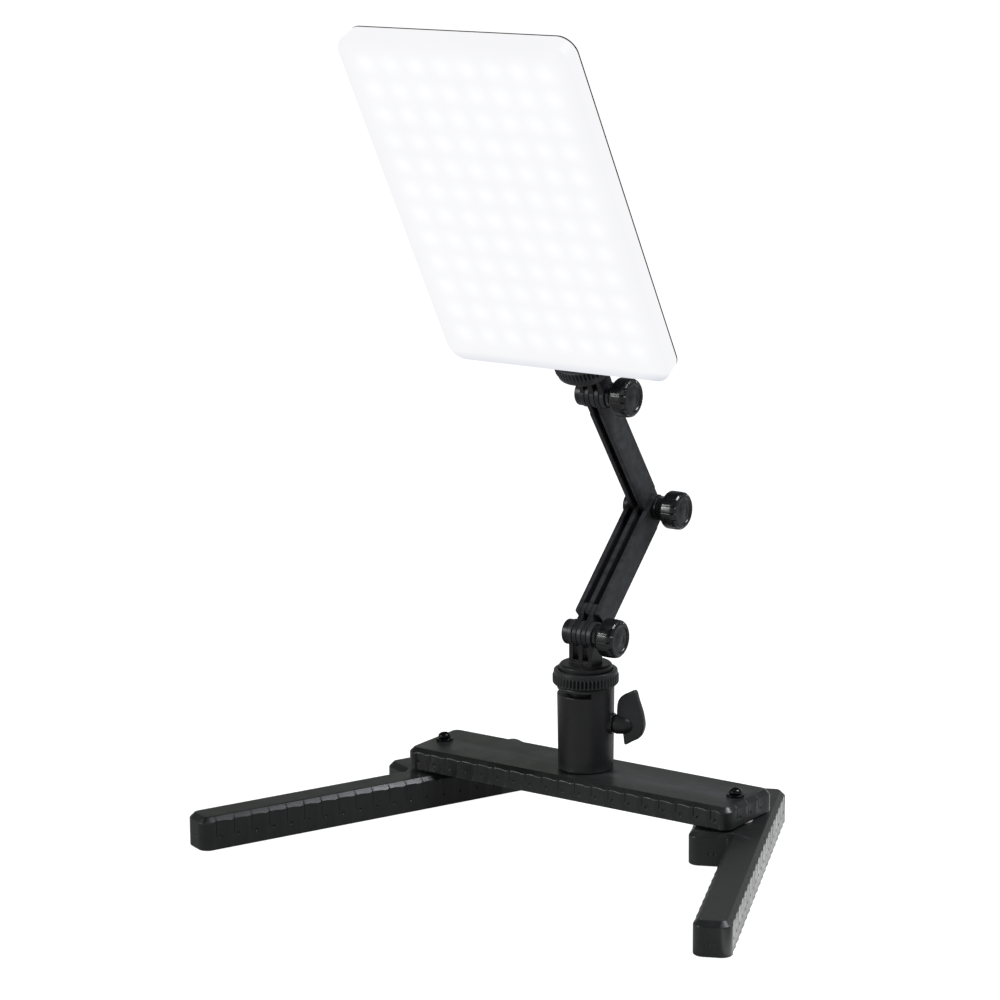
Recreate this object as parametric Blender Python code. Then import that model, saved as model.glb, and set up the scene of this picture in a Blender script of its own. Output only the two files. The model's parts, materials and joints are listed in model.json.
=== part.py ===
"""Table-top LED panel light: folding base, column, two-link friction arm and lit panel.

Metres, +Z up, origin at the middle of the footprint on the table. Lengths below are in millimetres
and are scaled once, when a mesh is made. The panel faces -Y, towards the user.
"""
import math

import bmesh
import bpy
from mathutils import Matrix, Vector

MM = 0.001
GAP = 0.3                   # running gap between neighbouring pieces

# Base bar
BAR_LENGTH = 195.6
BAR_DEPTH = 44.0
BAR_BOTTOM = 18.2
BAR_TOP = 29.5
BAR_WALL = 2.6
BAR_CEILING = BAR_TOP - 3.0
CHAMFER = 2.4               # along the upper edges of the bar
PIVOT_BOSS_R = 5.0
CORNER = 5.5                # vertical corner radius of bar and legs
PIVOT_X = 88.6              # leg pivots, either side of the column

# Legs: forward runs from the pivot to the toe, side runs to the left of that
LEG_TOP = 17.3
LEG_BOTTOM = 0.3
HEEL = -57.0
BLOCK_FRONT = 24.4
TOE = 152.0
BLOCK_INNER = -20.4
ARM_INNER = 0.2
LEG_OUTER = 18.7
LEFT_LEG_HEADING = 246.9    # degrees from +X, opened to the stop
RIGHT_LEG_HEADING = 293.4
SCREW_R = 1.9
NUT_HALF = 3.5              # half across flats

# Column and head
COLUMN_R = 14.6
COLUMN_TOP = 73.7
COLUMN_FLOOR = 38.0         # floor of the stem's bore
COLUMN_BOLT_R = 2.9
STEM_R = 7.9
FLANGE_R = 13.5
RING_R = 17.0
RING_HEIGHT = 8.0
RING_TO_EYE = 17.8          # lock ring's near face to the hinge axis
FLANGE_TO_EYE = 14.8
EYE_Z = 99.5
WING_HEADING = 13.6         # degrees from +X
WING_Z = 54.0
CLAMP_SCREW_R = 2.9
SLIT_BOTTOM = COLUMN_TOP - 4.6
SLIT_TOP = COLUMN_TOP - 1.9

# Friction hinges: five interleaved fingers across X
FINGER = 2.6
PITCH = FINGER + GAP
EYE_R = 6.9
BOLT_R = 2.4
STACK = 2 * PITCH + FINGER / 2
LINK_HALF = 7.4             # half the depth of a link
LINK_END = 8.2              # link body to hinge axis
LOWER_LINK = 79.5
UPPER_LINK = 79.5
LOWER_LEAN = -45.8          # degrees about +X from upright, negative leans away from the user
UPPER_LEAN = 34.3
PANEL_LEAN = 29.2
KNOB_R = 9.9
KNOB_LENGTH = 13.9

# Panel, in the frame of the top hinge: Z up the panel, Y out of its back
PANEL_WIDTH = 130.6
PANEL_BOTTOM = 31.8
PANEL_TOP = 223.6
PANEL_FRONT = -22.2
DIFFUSER_DEPTH = 8.0
PANEL_CORNER = 9.5
LAMP_PITCH = 14.46
LAMP_COLUMNS = 8
LAMP_ROWS = 12
LAMP_CENTRE_Z = 129.5
BOX_HALF = 34.0
BOX_BOTTOM = 33.0
BOX_TOP = 118.0
BOX_BACK = 13.2
BOX_SCREWS = [(-27.0, 40.0), (27.0, 40.0), (-27.0, 111.0), (27.0, 111.0)]
DIMMER_X = -14.0
BUTTON_X = 12.0
CONTROLS_Z = 97.0
INLET_Z = 66.0
INLET_Y = 2.0
HOUSING_FRONT = PANEL_FRONT + DIFFUSER_DEPTH + GAP
HOUSING_BACK = HOUSING_FRONT + 2.5
COVER_BACK = BOX_BACK + GAP + 2.2


def clear_scene():
    for obj in list(bpy.data.objects):
        bpy.data.objects.remove(obj, do_unlink=True)


def material(name, colour, roughness, metallic=0.0):
    made = bpy.data.materials.new(name)
    made.use_nodes = True
    shader = made.node_tree.nodes["Principled BSDF"]
    shader.inputs["Base Color"].default_value = (*colour, 1.0)
    shader.inputs["Roughness"].default_value = roughness
    shader.inputs["Metallic"].default_value = metallic
    made.diffuse_color = (*colour, 1.0)
    return made


def make_materials():
    return {
        "plastic": material("black_plastic", (0.028, 0.028, 0.030), 0.45),
        "gloss": material("gloss_black", (0.016, 0.016, 0.018), 0.15),
        "rubber": material("rubber", (0.02, 0.02, 0.02), 0.85),
        "steel": material("steel", (0.50, 0.50, 0.52), 0.35, 1.0),
        "black_steel": material("black_steel", (0.03, 0.03, 0.032), 0.25, 0.9),
        "nylon": material("nylon", (0.72, 0.70, 0.64), 0.5),
        "brass": material("brass", (0.70, 0.52, 0.22), 0.3, 1.0),
        "diffuser": material("milk_white", (0.93, 0.94, 0.96), 0.35),
        "board": material("board_white", (0.85, 0.86, 0.84), 0.5),
        "green_board": material("board_green", (0.03, 0.16, 0.08), 0.45),
        "aluminium": material("aluminium", (0.75, 0.76, 0.78), 0.4, 1.0),
        "battery": material("battery_blue", (0.05, 0.10, 0.22), 0.4),
    }


def frame(name, parent=None, place=(0, 0, 0), lean=0.0, heading=0.0):
    """An empty on a joint's axis: lean turns about X and heading about Z, in degrees."""
    empty = bpy.data.objects.new(name, None)
    bpy.context.collection.objects.link(empty)
    empty.parent = parent
    empty.location = Vector(place) * MM
    empty.rotation_euler = (math.radians(lean), 0.0, math.radians(heading))
    return empty


def piece(name, mesh, parent, finish, smooth=True):
    """Turn a bmesh in millimetres into an object on its parent frame."""
    bmesh.ops.recalc_face_normals(mesh, faces=mesh.faces)
    bmesh.ops.scale(mesh, vec=(MM, MM, MM), verts=mesh.verts)
    data = bpy.data.meshes.new(name)
    mesh.to_mesh(data)
    mesh.free()
    if smooth:
        data.shade_smooth()
        data.set_sharp_from_angle(angle=math.radians(32))
    data.materials.append(finish)
    obj = bpy.data.objects.new(name, data)
    bpy.context.collection.objects.link(obj)
    obj.parent = parent
    return obj


def boolean(target, mesh, operation, parent, finish):
    """Cut or join a helper shape, which stays hidden."""
    helper = piece(target.name + "_helper", mesh, parent, finish, smooth=False)
    helper.hide_render = True
    helper.display_type = "WIRE"
    step = target.modifiers.new(operation.lower(), "BOOLEAN")
    step.operation = operation
    step.solver = "EXACT"
    step.object = helper
    return target


def cut(target, mesh):
    return boolean(target, mesh, "DIFFERENCE", target.parent, target.data.materials[0])


def join(target, mesh):
    return boolean(target, mesh, "UNION", target.parent, target.data.materials[0])


def loft(loops):
    """A closed solid through loops of equal length, capped at both ends."""
    mesh = bmesh.new()
    rings = [[mesh.verts.new(point) for point in loop] for loop in loops]
    count = len(loops[0])
    mesh.faces.new(rings[0])
    mesh.faces.new(rings[-1])
    for low, high in zip(rings, rings[1:]):
        for i in range(count):
            j = (i + 1) % count
            mesh.faces.new((low[i], low[j], high[j], high[i]))
    return mesh


def turned(profile, segments=24, ring=False):
    """Revolve (radius, height) points about Z; a ring profile closes on itself."""
    mesh = bmesh.new()
    loops = []
    for radius, height in profile:
        if radius == 0:
            loops.append([mesh.verts.new((0, 0, height))] * segments)
            continue
        turn = [2 * math.pi * i / segments for i in range(segments)]
        loops.append([mesh.verts.new((radius * math.cos(a), radius * math.sin(a), height)) for a in turn])
    pairs = list(zip(loops, loops[1:]))
    if ring:
        pairs.append((loops[-1], loops[0]))
    for low, high in pairs:
        for i in range(segments):
            j = (i + 1) % segments
            corners = list(dict.fromkeys((low[i], low[j], high[j], high[i])))
            mesh.faces.new(corners)
    return mesh


def rod(radius, start, end, segments=16, phase=0.0):
    turn = [phase + 2 * math.pi * i / segments for i in range(segments)]
    return loft([[(radius * math.cos(a), radius * math.sin(a), z) for a in turn] for z in (start, end)])


def drill(radius, start, end):
    """A cutter for a round hole, turned a little so that its corners miss those of the round bosses."""
    return rod(radius, start, end, phase=0.07)


def block(low, high):
    """A plain box between two corners."""
    (x0, y0, z0), (x1, y1, z1) = low, high
    outline = [(x0, y0), (x1, y0), (x1, y1), (x0, y1)]
    return loft([[(x, y, z) for x, y in outline] for z in (z0, z1)])


def along_x(mesh):
    """Swing a shape built along Z so that it runs along X."""
    bmesh.ops.rotate(mesh, matrix=Matrix.Rotation(math.pi / 2, 3, "Y"), verts=mesh.verts)
    return mesh


def along_y(mesh):
    """Swing a shape built along Z so that it runs along Y."""
    bmesh.ops.rotate(mesh, matrix=Matrix.Rotation(-math.pi / 2, 3, "X"), verts=mesh.verts)
    return mesh


def stood_up(mesh):
    """Swing a shape built along X so that it runs along Z."""
    bmesh.ops.rotate(mesh, matrix=Matrix.Rotation(-math.pi / 2, 3, "Y"), verts=mesh.verts)
    return mesh


def moved(mesh, offset):
    bmesh.ops.translate(mesh, vec=offset, verts=mesh.verts)
    return mesh


def rounded(corners, radius, inset=0.0, steps=3):
    """An outline with round corners, moved inwards by inset; every inset gives the same point count."""
    count = len(corners)
    outline = []
    for i, corner in enumerate(corners):
        here = Vector(corner)
        back = (here - Vector(corners[i - 1])).normalized()
        ahead = (Vector(corners[(i + 1) % count]) - here).normalized()
        turn = back.x * ahead.y - back.y * ahead.x
        side_back = Vector((-back.y, back.x))
        side_ahead = Vector((-ahead.y, ahead.x))
        here = here + (side_back + side_ahead) * inset / (1 + side_back.dot(side_ahead))
        bend = max(radius - inset, 0.4) if turn > 0 else 1.0 + inset
        reach = bend * abs(turn) / (1 + back.dot(ahead))
        start = here - back * reach
        centre = start + side_back * bend * (1 if turn > 0 else -1)
        sweep = math.atan2(turn, back.dot(ahead))
        arm = start - centre
        for k in range(steps + 1):
            angle = sweep * k / steps
            spin = Vector((arm.x * math.cos(angle) - arm.y * math.sin(angle),
                           arm.x * math.sin(angle) + arm.y * math.cos(angle)))
            outline.append(centre + spin)
    return outline


def rectangle(x0, x1, y0, y1):
    return [(x0, y0), (x1, y0), (x1, y1), (x0, y1)]


def level(outline, z):
    return [(p.x, p.y, z) for p in outline]


def upright(outline, y):
    """An outline in X and Z, set at a depth Y."""
    return [(p.x, y, p.y) for p in outline]


def slab(outline, x0, x1):
    """An outline in Y and Z, extruded across X."""
    return loft([[(x, y, z) for y, z in outline] for x in (x0, x1)])


def finger_span(position):
    """The X range of one of the five hinge fingers, counted 1 to 5 from the nut side."""
    centre = (position - 3) * PITCH
    return centre - FINGER / 2, centre + FINGER / 2


def eye_outline(eye_z, base_z, half_depth, steps=12):
    """A finger's side view: a round eye on a straight neck."""
    way = 1 if base_z < eye_z else -1
    lead = math.acos(min(half_depth / EYE_R, 1.0))
    outline = []
    for k in range(steps + 1):
        angle = -lead + (math.pi + 2 * lead) * k / steps
        outline.append((EYE_R * math.cos(angle), eye_z + way * EYE_R * math.sin(angle)))
    return outline + [(-half_depth, base_z), (half_depth, base_z)]


def hexagon(half_flats, x0, x1, z=0.0):
    radius = half_flats / math.cos(math.pi / 6)
    turn = [math.pi / 3 * k for k in range(6)]
    return slab([(radius * math.cos(a), z + radius * math.sin(a)) for a in turn], x0, x1)


def build_bar(base, finish):
    outline = rectangle(-BAR_LENGTH / 2, BAR_LENGTH / 2, -BAR_DEPTH / 2, BAR_DEPTH / 2)
    lip = 0.5
    loops = [
        level(rounded(outline, CORNER, BAR_WALL), BAR_CEILING),
        level(rounded(outline, CORNER, BAR_WALL), BAR_BOTTOM),
        level(rounded(outline, CORNER, lip), BAR_BOTTOM),
        level(rounded(outline, CORNER), BAR_BOTTOM + lip),
        level(rounded(outline, CORNER), BAR_TOP - CHAMFER),
        level(rounded(outline, CORNER, CHAMFER), BAR_TOP),
    ]
    bar = piece("base_bar", loft(loops), base, finish["plastic"])
    for x in (-PIVOT_X, PIVOT_X):
        join(bar, moved(rod(PIVOT_BOSS_R, BAR_BOTTOM + GAP, BAR_CEILING + 1.5), (x, 0, 0)))
        cut(bar, moved(drill(SCREW_R + GAP, BAR_BOTTOM - 2, BAR_TOP + 2), (x, 0, 0)))
    cut(bar, drill(COLUMN_BOLT_R + GAP, BAR_BOTTOM - 2, BAR_TOP + 2))


def build_bar_fittings(base, finish):
    """What sits inside the bar: the steel plate, the bottom cover and the column's bolt."""
    plate_half_length = 78.0
    plate_half_depth = 17.0
    plate_top = BAR_CEILING - GAP
    plate_bottom = plate_top - 4.2
    outline = rounded(rectangle(-plate_half_length, plate_half_length, -plate_half_depth, plate_half_depth), 3.0)
    plate = piece("base_stiffener", loft([level(outline, z) for z in (plate_bottom, plate_top)]), base,
                  finish["steel"])
    cut(plate, drill(COLUMN_BOLT_R + 0.4, plate_bottom - 2, plate_top + 2))

    inside = rectangle(-BAR_LENGTH / 2, BAR_LENGTH / 2, -BAR_DEPTH / 2, BAR_DEPTH / 2)
    inner = rounded(inside, CORNER, BAR_WALL + GAP)
    cover_bottom = BAR_BOTTOM + 0.2
    cover_top = cover_bottom + 1.5
    cover = piece("base_cover", loft([level(inner, z) for z in (cover_bottom, cover_top)]), base,
                  finish["plastic"])
    for x in (-PIVOT_X, PIVOT_X):
        cut(cover, moved(drill(PIVOT_BOSS_R + GAP, cover_bottom - 2, cover_top + 2), (x, 0, 0)))

    head_r = 5.5
    head_top = plate_bottom - GAP
    bolt_end = COLUMN_FLOOR - 1.0
    bolt = [(0, head_top - 1.2), (head_r, head_top - 1.2), (head_r, head_top), (COLUMN_BOLT_R, head_top),
            (COLUMN_BOLT_R, bolt_end), (0, bolt_end)]
    piece("column_bolt", turned(bolt), base, finish["steel"])


def build_column(base, finish):
    stem_bore = STEM_R + GAP
    bolt_bore = COLUMN_BOLT_R + GAP
    profile = [
        (bolt_bore, BAR_TOP + GAP), (COLUMN_R - 0.5, BAR_TOP + GAP), (COLUMN_R, COLUMN_TOP - 1.0),
        (COLUMN_R - 0.6, COLUMN_TOP), (stem_bore, COLUMN_TOP), (stem_bore, COLUMN_FLOOR),
        (bolt_bore, COLUMN_FLOOR),
    ]
    column = piece("column", turned(profile, 36, ring=True), base, finish["plastic"])
    spin = Matrix.Rotation(math.radians(WING_HEADING), 3, "Z")

    def radial(mesh):
        bmesh.ops.translate(mesh, vec=(0, 0, WING_Z), verts=mesh.verts)
        bmesh.ops.rotate(mesh, matrix=spin, verts=mesh.verts)
        return mesh

    join(column, radial(along_x(rod(5.5, COLUMN_R - 3.5, COLUMN_R + 0.6))))
    cut(column, radial(along_x(drill(CLAMP_SCREW_R + GAP, STEM_R - 2, COLUMN_R + 3))))
    slit = block((-30, -30, SLIT_BOTTOM), (30, 0, SLIT_TOP))
    bmesh.ops.rotate(slit, matrix=Matrix.Rotation(math.radians(-45), 3, "Z"), verts=slit.verts)
    cut(column, slit)


def build_wing(clamp, finish):
    """The clamp screw's frame runs out along X from the column's axis."""
    hub = COLUMN_R + 0.9
    socket = 21.0
    bore_r = CLAMP_SCREW_R + GAP
    profile = [
        (0, 29.0), (3.6, 28.4), (4.6, 26.0), (5.0, hub + 1.5), (4.6, hub),
        (bore_r, hub), (bore_r, socket), (0, socket),
    ]
    wing = piece("wing_knob", along_x(turned(profile)), clamp, finish["plastic"])
    blade = [
        (17.2, 4.5), (17.3, 11.0), (18.1, 13.2), (19.7, 15.4), (22.6, 17.0), (26.0, 18.6), (27.5, 17.8),
        (28.5, 14.0), (30.9, 7.1), (31.9, 1.0), (31.1, -2.9), (29.1, -6.0), (25.3, -8.2), (22.2, -10.1),
        (21.0, -9.6), (20.5, -5.0), (19.6, -3.8),
    ]
    faces = [[(x, y, z) for x, z in blade] for y in (-2.1, 2.1)]
    join(wing, loft(faces))
    cut(wing, along_x(drill(bore_r, hub - 2, socket)))
    tip = STEM_R + 0.4
    end = socket - GAP
    screw = turned([(0, tip), (CLAMP_SCREW_R - 0.7, tip), (CLAMP_SCREW_R, tip + 0.8), (CLAMP_SCREW_R, end), (0, end)])
    piece("clamp_screw", along_x(screw), clamp, finish["steel"])


def leg_loops():
    outline = [
        (HEEL, BLOCK_INNER), (BLOCK_FRONT, BLOCK_INNER), (BLOCK_FRONT, ARM_INNER),
        (TOE, ARM_INNER), (TOE, LEG_OUTER), (HEEL, LEG_OUTER),
    ]
    return [
        level(rounded(outline, CORNER, 1.6), LEG_BOTTOM),
        level(rounded(outline, CORNER), LEG_BOTTOM + 1.6),
        level(rounded(outline, CORNER), LEG_TOP - 2.6),
        level(rounded(outline, CORNER, 2.6), LEG_TOP),
    ]


def build_leg(side, leg, finish):
    """A leg's frame is on its pivot, with X along the leg and Y to its left."""
    body = piece("leg_" + side, loft(leg_loops()), leg, finish["plastic"])
    cut(body, drill(SCREW_R + GAP, -2, LEG_TOP + 2))
    cut(body, stood_up(hexagon(NUT_HALF + GAP, LEG_BOTTOM - 2, 6.0)))
    pads = {"toe": rectangle(119, 145, 3.6, 15.4), "heel": rectangle(-50, -28, -13.4, 12.4)}
    for place, outline in pads.items():
        room = loft([level(rounded(outline, 3.0, -GAP), z) for z in (LEG_BOTTOM - 2, 2.1)])
        cut(body, room)
        pad = loft([level(rounded(outline, 3.0), z) for z in (0.0, 1.8)])
        piece("pad_" + side + "_" + place, pad, leg, finish["rubber"])


def build_pivot(side, pivot, finish):
    """Screw, washers and nut of a leg, on the pivot's axis."""
    head = BAR_TOP + GAP + 0.9 + GAP
    screw = [
        (0, 1.6), (SCREW_R, 1.6), (SCREW_R, head), (3.3, head), (3.3, head + 1.0),
        (2.7, head + 2.1), (1.4, head + 2.6), (0, head + 2.7),
    ]
    piece("pivot_screw_" + side, turned(screw), pivot, finish["black_steel"])
    wide = [(SCREW_R + GAP, BAR_TOP + GAP), (4.5, BAR_TOP + GAP),
            (4.5, BAR_TOP + GAP + 0.9), (SCREW_R + GAP, BAR_TOP + GAP + 0.9)]
    piece("pivot_washer_" + side, turned(wide, ring=True), pivot, finish["black_steel"])
    thin = [(SCREW_R + GAP, LEG_TOP + GAP), (9.0, LEG_TOP + GAP),
            (9.0, BAR_BOTTOM - GAP), (SCREW_R + GAP, BAR_BOTTOM - GAP)]
    piece("friction_washer_" + side, turned(thin, ring=True), pivot, finish["nylon"])
    nut = piece("pivot_nut_" + side, stood_up(hexagon(NUT_HALF, 2.5, 5.7)), pivot, finish["steel"], smooth=False)
    cut(nut, drill(SCREW_R + GAP, 0, 8))


def build_hinge_nut(name, holder, eye_z, boss, finish):
    """A captive nut, 3 mm thick, in the pocket of the boss on the nut side."""
    start = GAP - STACK - boss
    nut = piece(name, moved(hexagon(3.7, start, start + 3.0), (0, 0, eye_z)), holder, finish["steel"],
                smooth=False)
    cut(nut, moved(along_x(drill(BOLT_R + GAP, start - 2, start + 5)), (0, 0, eye_z)))


def swivel_profile(stem_end, stem_radius):
    """Flange and stem of a swivel, measured down from its hinge axis."""
    under = RING_TO_EYE + 3.5 + GAP
    return [
        (0, -stem_end), (stem_radius, -stem_end), (stem_radius, -under), (FLANGE_R - 0.6, -under),
        (FLANGE_R, -under + 0.6), (FLANGE_R, -FLANGE_TO_EYE - 0.6), (FLANGE_R - 0.6, -FLANGE_TO_EYE),
        (0, -FLANGE_TO_EYE),
    ]


def build_swivel(name, holder, finish, stem_end, stem_radius, flip=False):
    """A three-prong swivel: the head of the column, or turned over under the panel."""
    way = -1 if flip else 1
    profile = [(r, z * way) for r, z in swivel_profile(stem_end, stem_radius)]
    swivel = piece(name, turned(profile, 28), holder, finish["plastic"])
    base = -(FLANGE_TO_EYE + 1.5) * way
    for position in (1, 3, 5):
        join(swivel, slab(eye_outline(0, base, 4.8), *finger_span(position)))
    foot = -FLANGE_TO_EYE * way
    web = sorted((foot - 0.8 * way, foot + 2.0 * way))
    join(swivel, block((-STACK, -4.8, web[0]), (STACK, 4.8, web[1])))
    add_nut_boss(swivel, 0.0, 3.5, 6.5)
    return swivel


def add_nut_boss(target, z, boss, radius):
    """A round boss on the nut side, its hexagon pocket and the bolt's bore."""
    outer = -STACK - boss
    join(target, moved(along_x(rod(radius, outer, -STACK + 1.0)), (0, 0, z)))
    cut(target, hexagon(4.0, outer - 2, outer + 3.6, z))
    bore(target, z)


def build_ring(name, holder, finish, near, bore, flip=False):
    """A lock ring; near is its face towards the hinge, and the recess takes the flange."""
    way = -1 if flip else 1
    far = near - RING_HEIGHT * way
    step = near - 4.1 * way
    recess = FLANGE_R + GAP
    profile = [
        (bore, far), (RING_R - 2.4, far), (RING_R, far + 2.0 * way), (RING_R, near - 1.6 * way),
        (RING_R - 1.6, near), (recess, near), (recess, step), (bore, step),
    ]
    piece(name, turned(profile, 32, ring=True), holder, finish["plastic"])


def build_link(name, holder, length, low, high, finish):
    """A link on its lower hinge, Z along it; low and high are the finger positions at its ends."""
    first = finger_span(min(low + high))[0]
    last = finger_span(max(low + high))[1]
    body = block((first, -LINK_HALF, LINK_END), (last, LINK_HALF, length - LINK_END))
    link = piece(name, body, holder, finish["plastic"], smooth=False)
    for position in low:
        join(link, slab(eye_outline(0, LINK_END + 4, EYE_R), *finger_span(position)))
    for position in high:
        join(link, slab(eye_outline(length, length - LINK_END - 4, EYE_R), *finger_span(position)))
    for position in range(min(low + high), max(low + high) + 1):
        if position in high:
            continue
        span = [finger_span(position)[0] - GAP, finger_span(position)[1] + GAP]
        start = LINK_END + 5.0 if position in low else LINK_END - 3.0
        for front, back in ((-LINK_HALF - 2, -LINK_HALF + 3.0), (LINK_HALF - 3.0, LINK_HALF + 2)):
            cut(link, block((span[0], front, start), (span[1], back, length - LINK_END + 3.0)))
    bore(link, 0.0)
    return link


def bore(target, z):
    """The hole for a cross bolt."""
    cut(target, moved(along_x(drill(BOLT_R + GAP, -STACK - 6, STACK + 6)), (0, 0, z)))


def build_knob(name, holder, start, nut_end, finish):
    """A fluted hand knob and its cross bolt, turning about X."""
    lobes = 12
    segments = 2 * lobes
    stations = [(0.0, 6.3, 0.0), (2.2, 6.5, 0.0), (4.6, KNOB_R - 0.5, 0.2), (5.4, KNOB_R, 0.5),
                (KNOB_LENGTH - 1.9, KNOB_R, 0.5), (KNOB_LENGTH - 0.5, KNOB_R - 1.0, 0.3),
                (KNOB_LENGTH, KNOB_R - 2.2, 0.0)]
    loops = []
    for x, radius, flute in stations:
        loop = []
        for k in range(segments):
            angle = 2 * math.pi * k / segments
            reach = radius - flute * (1 - math.cos(lobes * angle)) / 2
            loop.append((start + x, reach * math.cos(angle), reach * math.sin(angle)))
        loops.append(loop)
    knob = piece(name, loft(loops), holder, finish["gloss"])
    socket = start + 9.0
    cut(knob, along_x(drill(BOLT_R + GAP, start - 2, socket)))
    piece(name.replace("knob", "bolt"), along_x(rod(BOLT_R, nut_end, socket - GAP)), holder, finish["steel"])


def panel_outline():
    return rectangle(-PANEL_WIDTH / 2, PANEL_WIDTH / 2, PANEL_BOTTOM, PANEL_TOP)


def build_diffuser(panel, finish):
    outline = panel_outline()
    rim = PANEL_FRONT + DIFFUSER_DEPTH
    loops = [
        upright(rounded(outline, PANEL_CORNER, 2.2, 6), PANEL_FRONT + 2.2),
        upright(rounded(outline, PANEL_CORNER, 2.2, 6), rim),
        upright(rounded(outline, PANEL_CORNER, 0.0, 6), rim),
        upright(rounded(outline, PANEL_CORNER, 0.0, 6), PANEL_FRONT + 2.6),
        upright(rounded(outline, PANEL_CORNER, 0.8, 6), PANEL_FRONT + 0.8),
        upright(rounded(outline, PANEL_CORNER, 2.6, 6), PANEL_FRONT),
    ]
    piece("diffuser", loft(loops), panel, finish["diffuser"])


def build_lamp_board(panel, finish):
    """One board with a raised lamp in each cell of its front face."""
    front, back, crown = -17.6, -16.0, -18.5
    margin = 2.0
    xs = [(i - LAMP_COLUMNS / 2) * LAMP_PITCH for i in range(LAMP_COLUMNS + 1)]
    zs = [LAMP_CENTRE_Z + (k - LAMP_ROWS / 2) * LAMP_PITCH for k in range(LAMP_ROWS + 1)]
    xs[0], xs[-1] = xs[0] - margin, xs[-1] + margin
    zs[0], zs[-1] = zs[0] - margin, zs[-1] + margin
    mesh = bmesh.new()
    grid = [[mesh.verts.new((x, front, z)) for z in zs] for x in xs]
    for i, k in ((0, 0), (0, -1), (-1, 0), (-1, -1)):
        grid[i][k].co += Vector((3.5 if i == 0 else -3.5, 0, 3.5 if k == 0 else -3.5))
    half = 1.8
    for i in range(LAMP_COLUMNS):
        for k in range(LAMP_ROWS):
            cell = [grid[i][k], grid[i + 1][k], grid[i + 1][k + 1], grid[i][k + 1]]
            x = (i - (LAMP_COLUMNS - 1) / 2) * LAMP_PITCH
            z = LAMP_CENTRE_Z + (k - (LAMP_ROWS - 1) / 2) * LAMP_PITCH
            square = [(x - half, z - half), (x + half, z - half), (x + half, z + half), (x - half, z + half)]
            foot = [mesh.verts.new((a, front, b)) for a, b in square]
            top = [mesh.verts.new((a, crown, b)) for a, b in square]
            mesh.faces.new(top)
            for a in range(4):
                b = (a + 1) % 4
                mesh.faces.new((cell[a], cell[b], foot[b], foot[a]))
                mesh.faces.new((foot[a], foot[b], top[b], top[a]))
    edge = [column[0] for column in grid] + grid[-1][1:]
    edge += [column[-1] for column in grid[-2::-1]] + grid[0][-2:0:-1]
    rear = [mesh.verts.new((v.co.x, back, v.co.z)) for v in edge]
    mesh.faces.new(rear)
    for a in range(len(edge)):
        b = (a + 1) % len(edge)
        mesh.faces.new((edge[a], edge[b], rear[b], rear[a]))
    piece("led_board", mesh, panel, finish["board"], smooth=False)

    sheet = rounded(rectangle(-58, 58, 42, 216), 4.0)
    spreader = loft([upright(sheet, y) for y in (-15.7, -14.5)])
    piece("heat_spreader", spreader, panel, finish["aluminium"], smooth=False)


def build_housing(panel, finish):
    """Rear plate with a deep box for the battery and driver, open at the back for its cover."""
    plate = panel_outline()
    loops = [
        upright(rounded(plate, PANEL_CORNER, 0.3, 6), HOUSING_FRONT),
        upright(rounded(plate, PANEL_CORNER, 0.3, 6), HOUSING_FRONT + 0.9),
        upright(rounded(plate, PANEL_CORNER, 1.9, 6), HOUSING_BACK),
    ]
    housing = piece("rear_housing", loft(loops), panel, finish["plastic"])
    box = rectangle(-BOX_HALF, BOX_HALF, BOX_BOTTOM, BOX_TOP)
    shell = [
        upright(rounded(box, 6.0), HOUSING_BACK - 1.0),
        upright(rounded(box, 6.0), BOX_BACK),
    ]
    join(housing, loft(shell))
    boss = [(0, 26.1), (13.4, 26.1), (14.0, 26.7), (14.0, 31.0), (12.2, 32.6), (12.2, 36.0), (0, 36.0)]
    join(housing, turned(boss, 28))
    hollow = [
        upright(rounded(rectangle(-BOX_HALF + 2.2, BOX_HALF - 2.2, 47.0, BOX_TOP - 2.2), 4.0), y)
        for y in (HOUSING_FRONT + 2.0, BOX_BACK + 3)
    ]
    cut(housing, loft(hollow))
    for x, z in BOX_SCREWS:
        join(housing, moved(along_y(rod(4.6, HOUSING_BACK - 1.0, BOX_BACK)), (x, 0, z)))
        cut(housing, moved(along_y(drill(1.5 + GAP, 6.0, BOX_BACK + 2)), (x, 0, z)))
    cut(housing, drill(5.0 + GAP, 20, 42.5))
    cut(housing, moved(along_x(drill(6.0 + GAP, BOX_HALF - 5, BOX_HALF + 5)), (0, INLET_Y, INLET_Z)))

    insert = [(3.5, 26.5), (5.0, 26.5), (5.0, 42.0), (3.5, 42.0)]
    piece("mount_insert", turned(insert, ring=True), panel, finish["brass"])


def build_cover(panel, finish):
    """Back cover, with its four screws and the holes for the dimmer and the button."""
    front = BOX_BACK + GAP
    box = rectangle(-BOX_HALF, BOX_HALF, BOX_BOTTOM, BOX_TOP)
    loops = [
        upright(rounded(box, 6.0), front),
        upright(rounded(box, 6.0), COVER_BACK - 0.8),
        upright(rounded(box, 6.0, 0.8), COVER_BACK),
    ]
    cover = piece("rear_cover", loft(loops), panel, finish["plastic"])
    holes = [(2.6, DIMMER_X, CONTROLS_Z), (4.0, BUTTON_X, CONTROLS_Z)] + [(1.5, x, z) for x, z in BOX_SCREWS]
    for radius, x, z in holes:
        cut(cover, moved(along_y(drill(radius + GAP, front - 2, COVER_BACK + 2)), (x, 0, z)))
    seat = COVER_BACK + GAP
    profile = [(0, 7.5), (1.5, 7.5), (1.5, seat), (2.8, seat), (2.6, seat + 1.0), (0, seat + 1.4)]
    for number, (x, z) in enumerate(BOX_SCREWS, 1):
        screw = moved(along_y(turned(profile, 16)), (x, 0, z))
        piece("cover_screw_%d" % number, screw, panel, finish["black_steel"])


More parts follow.
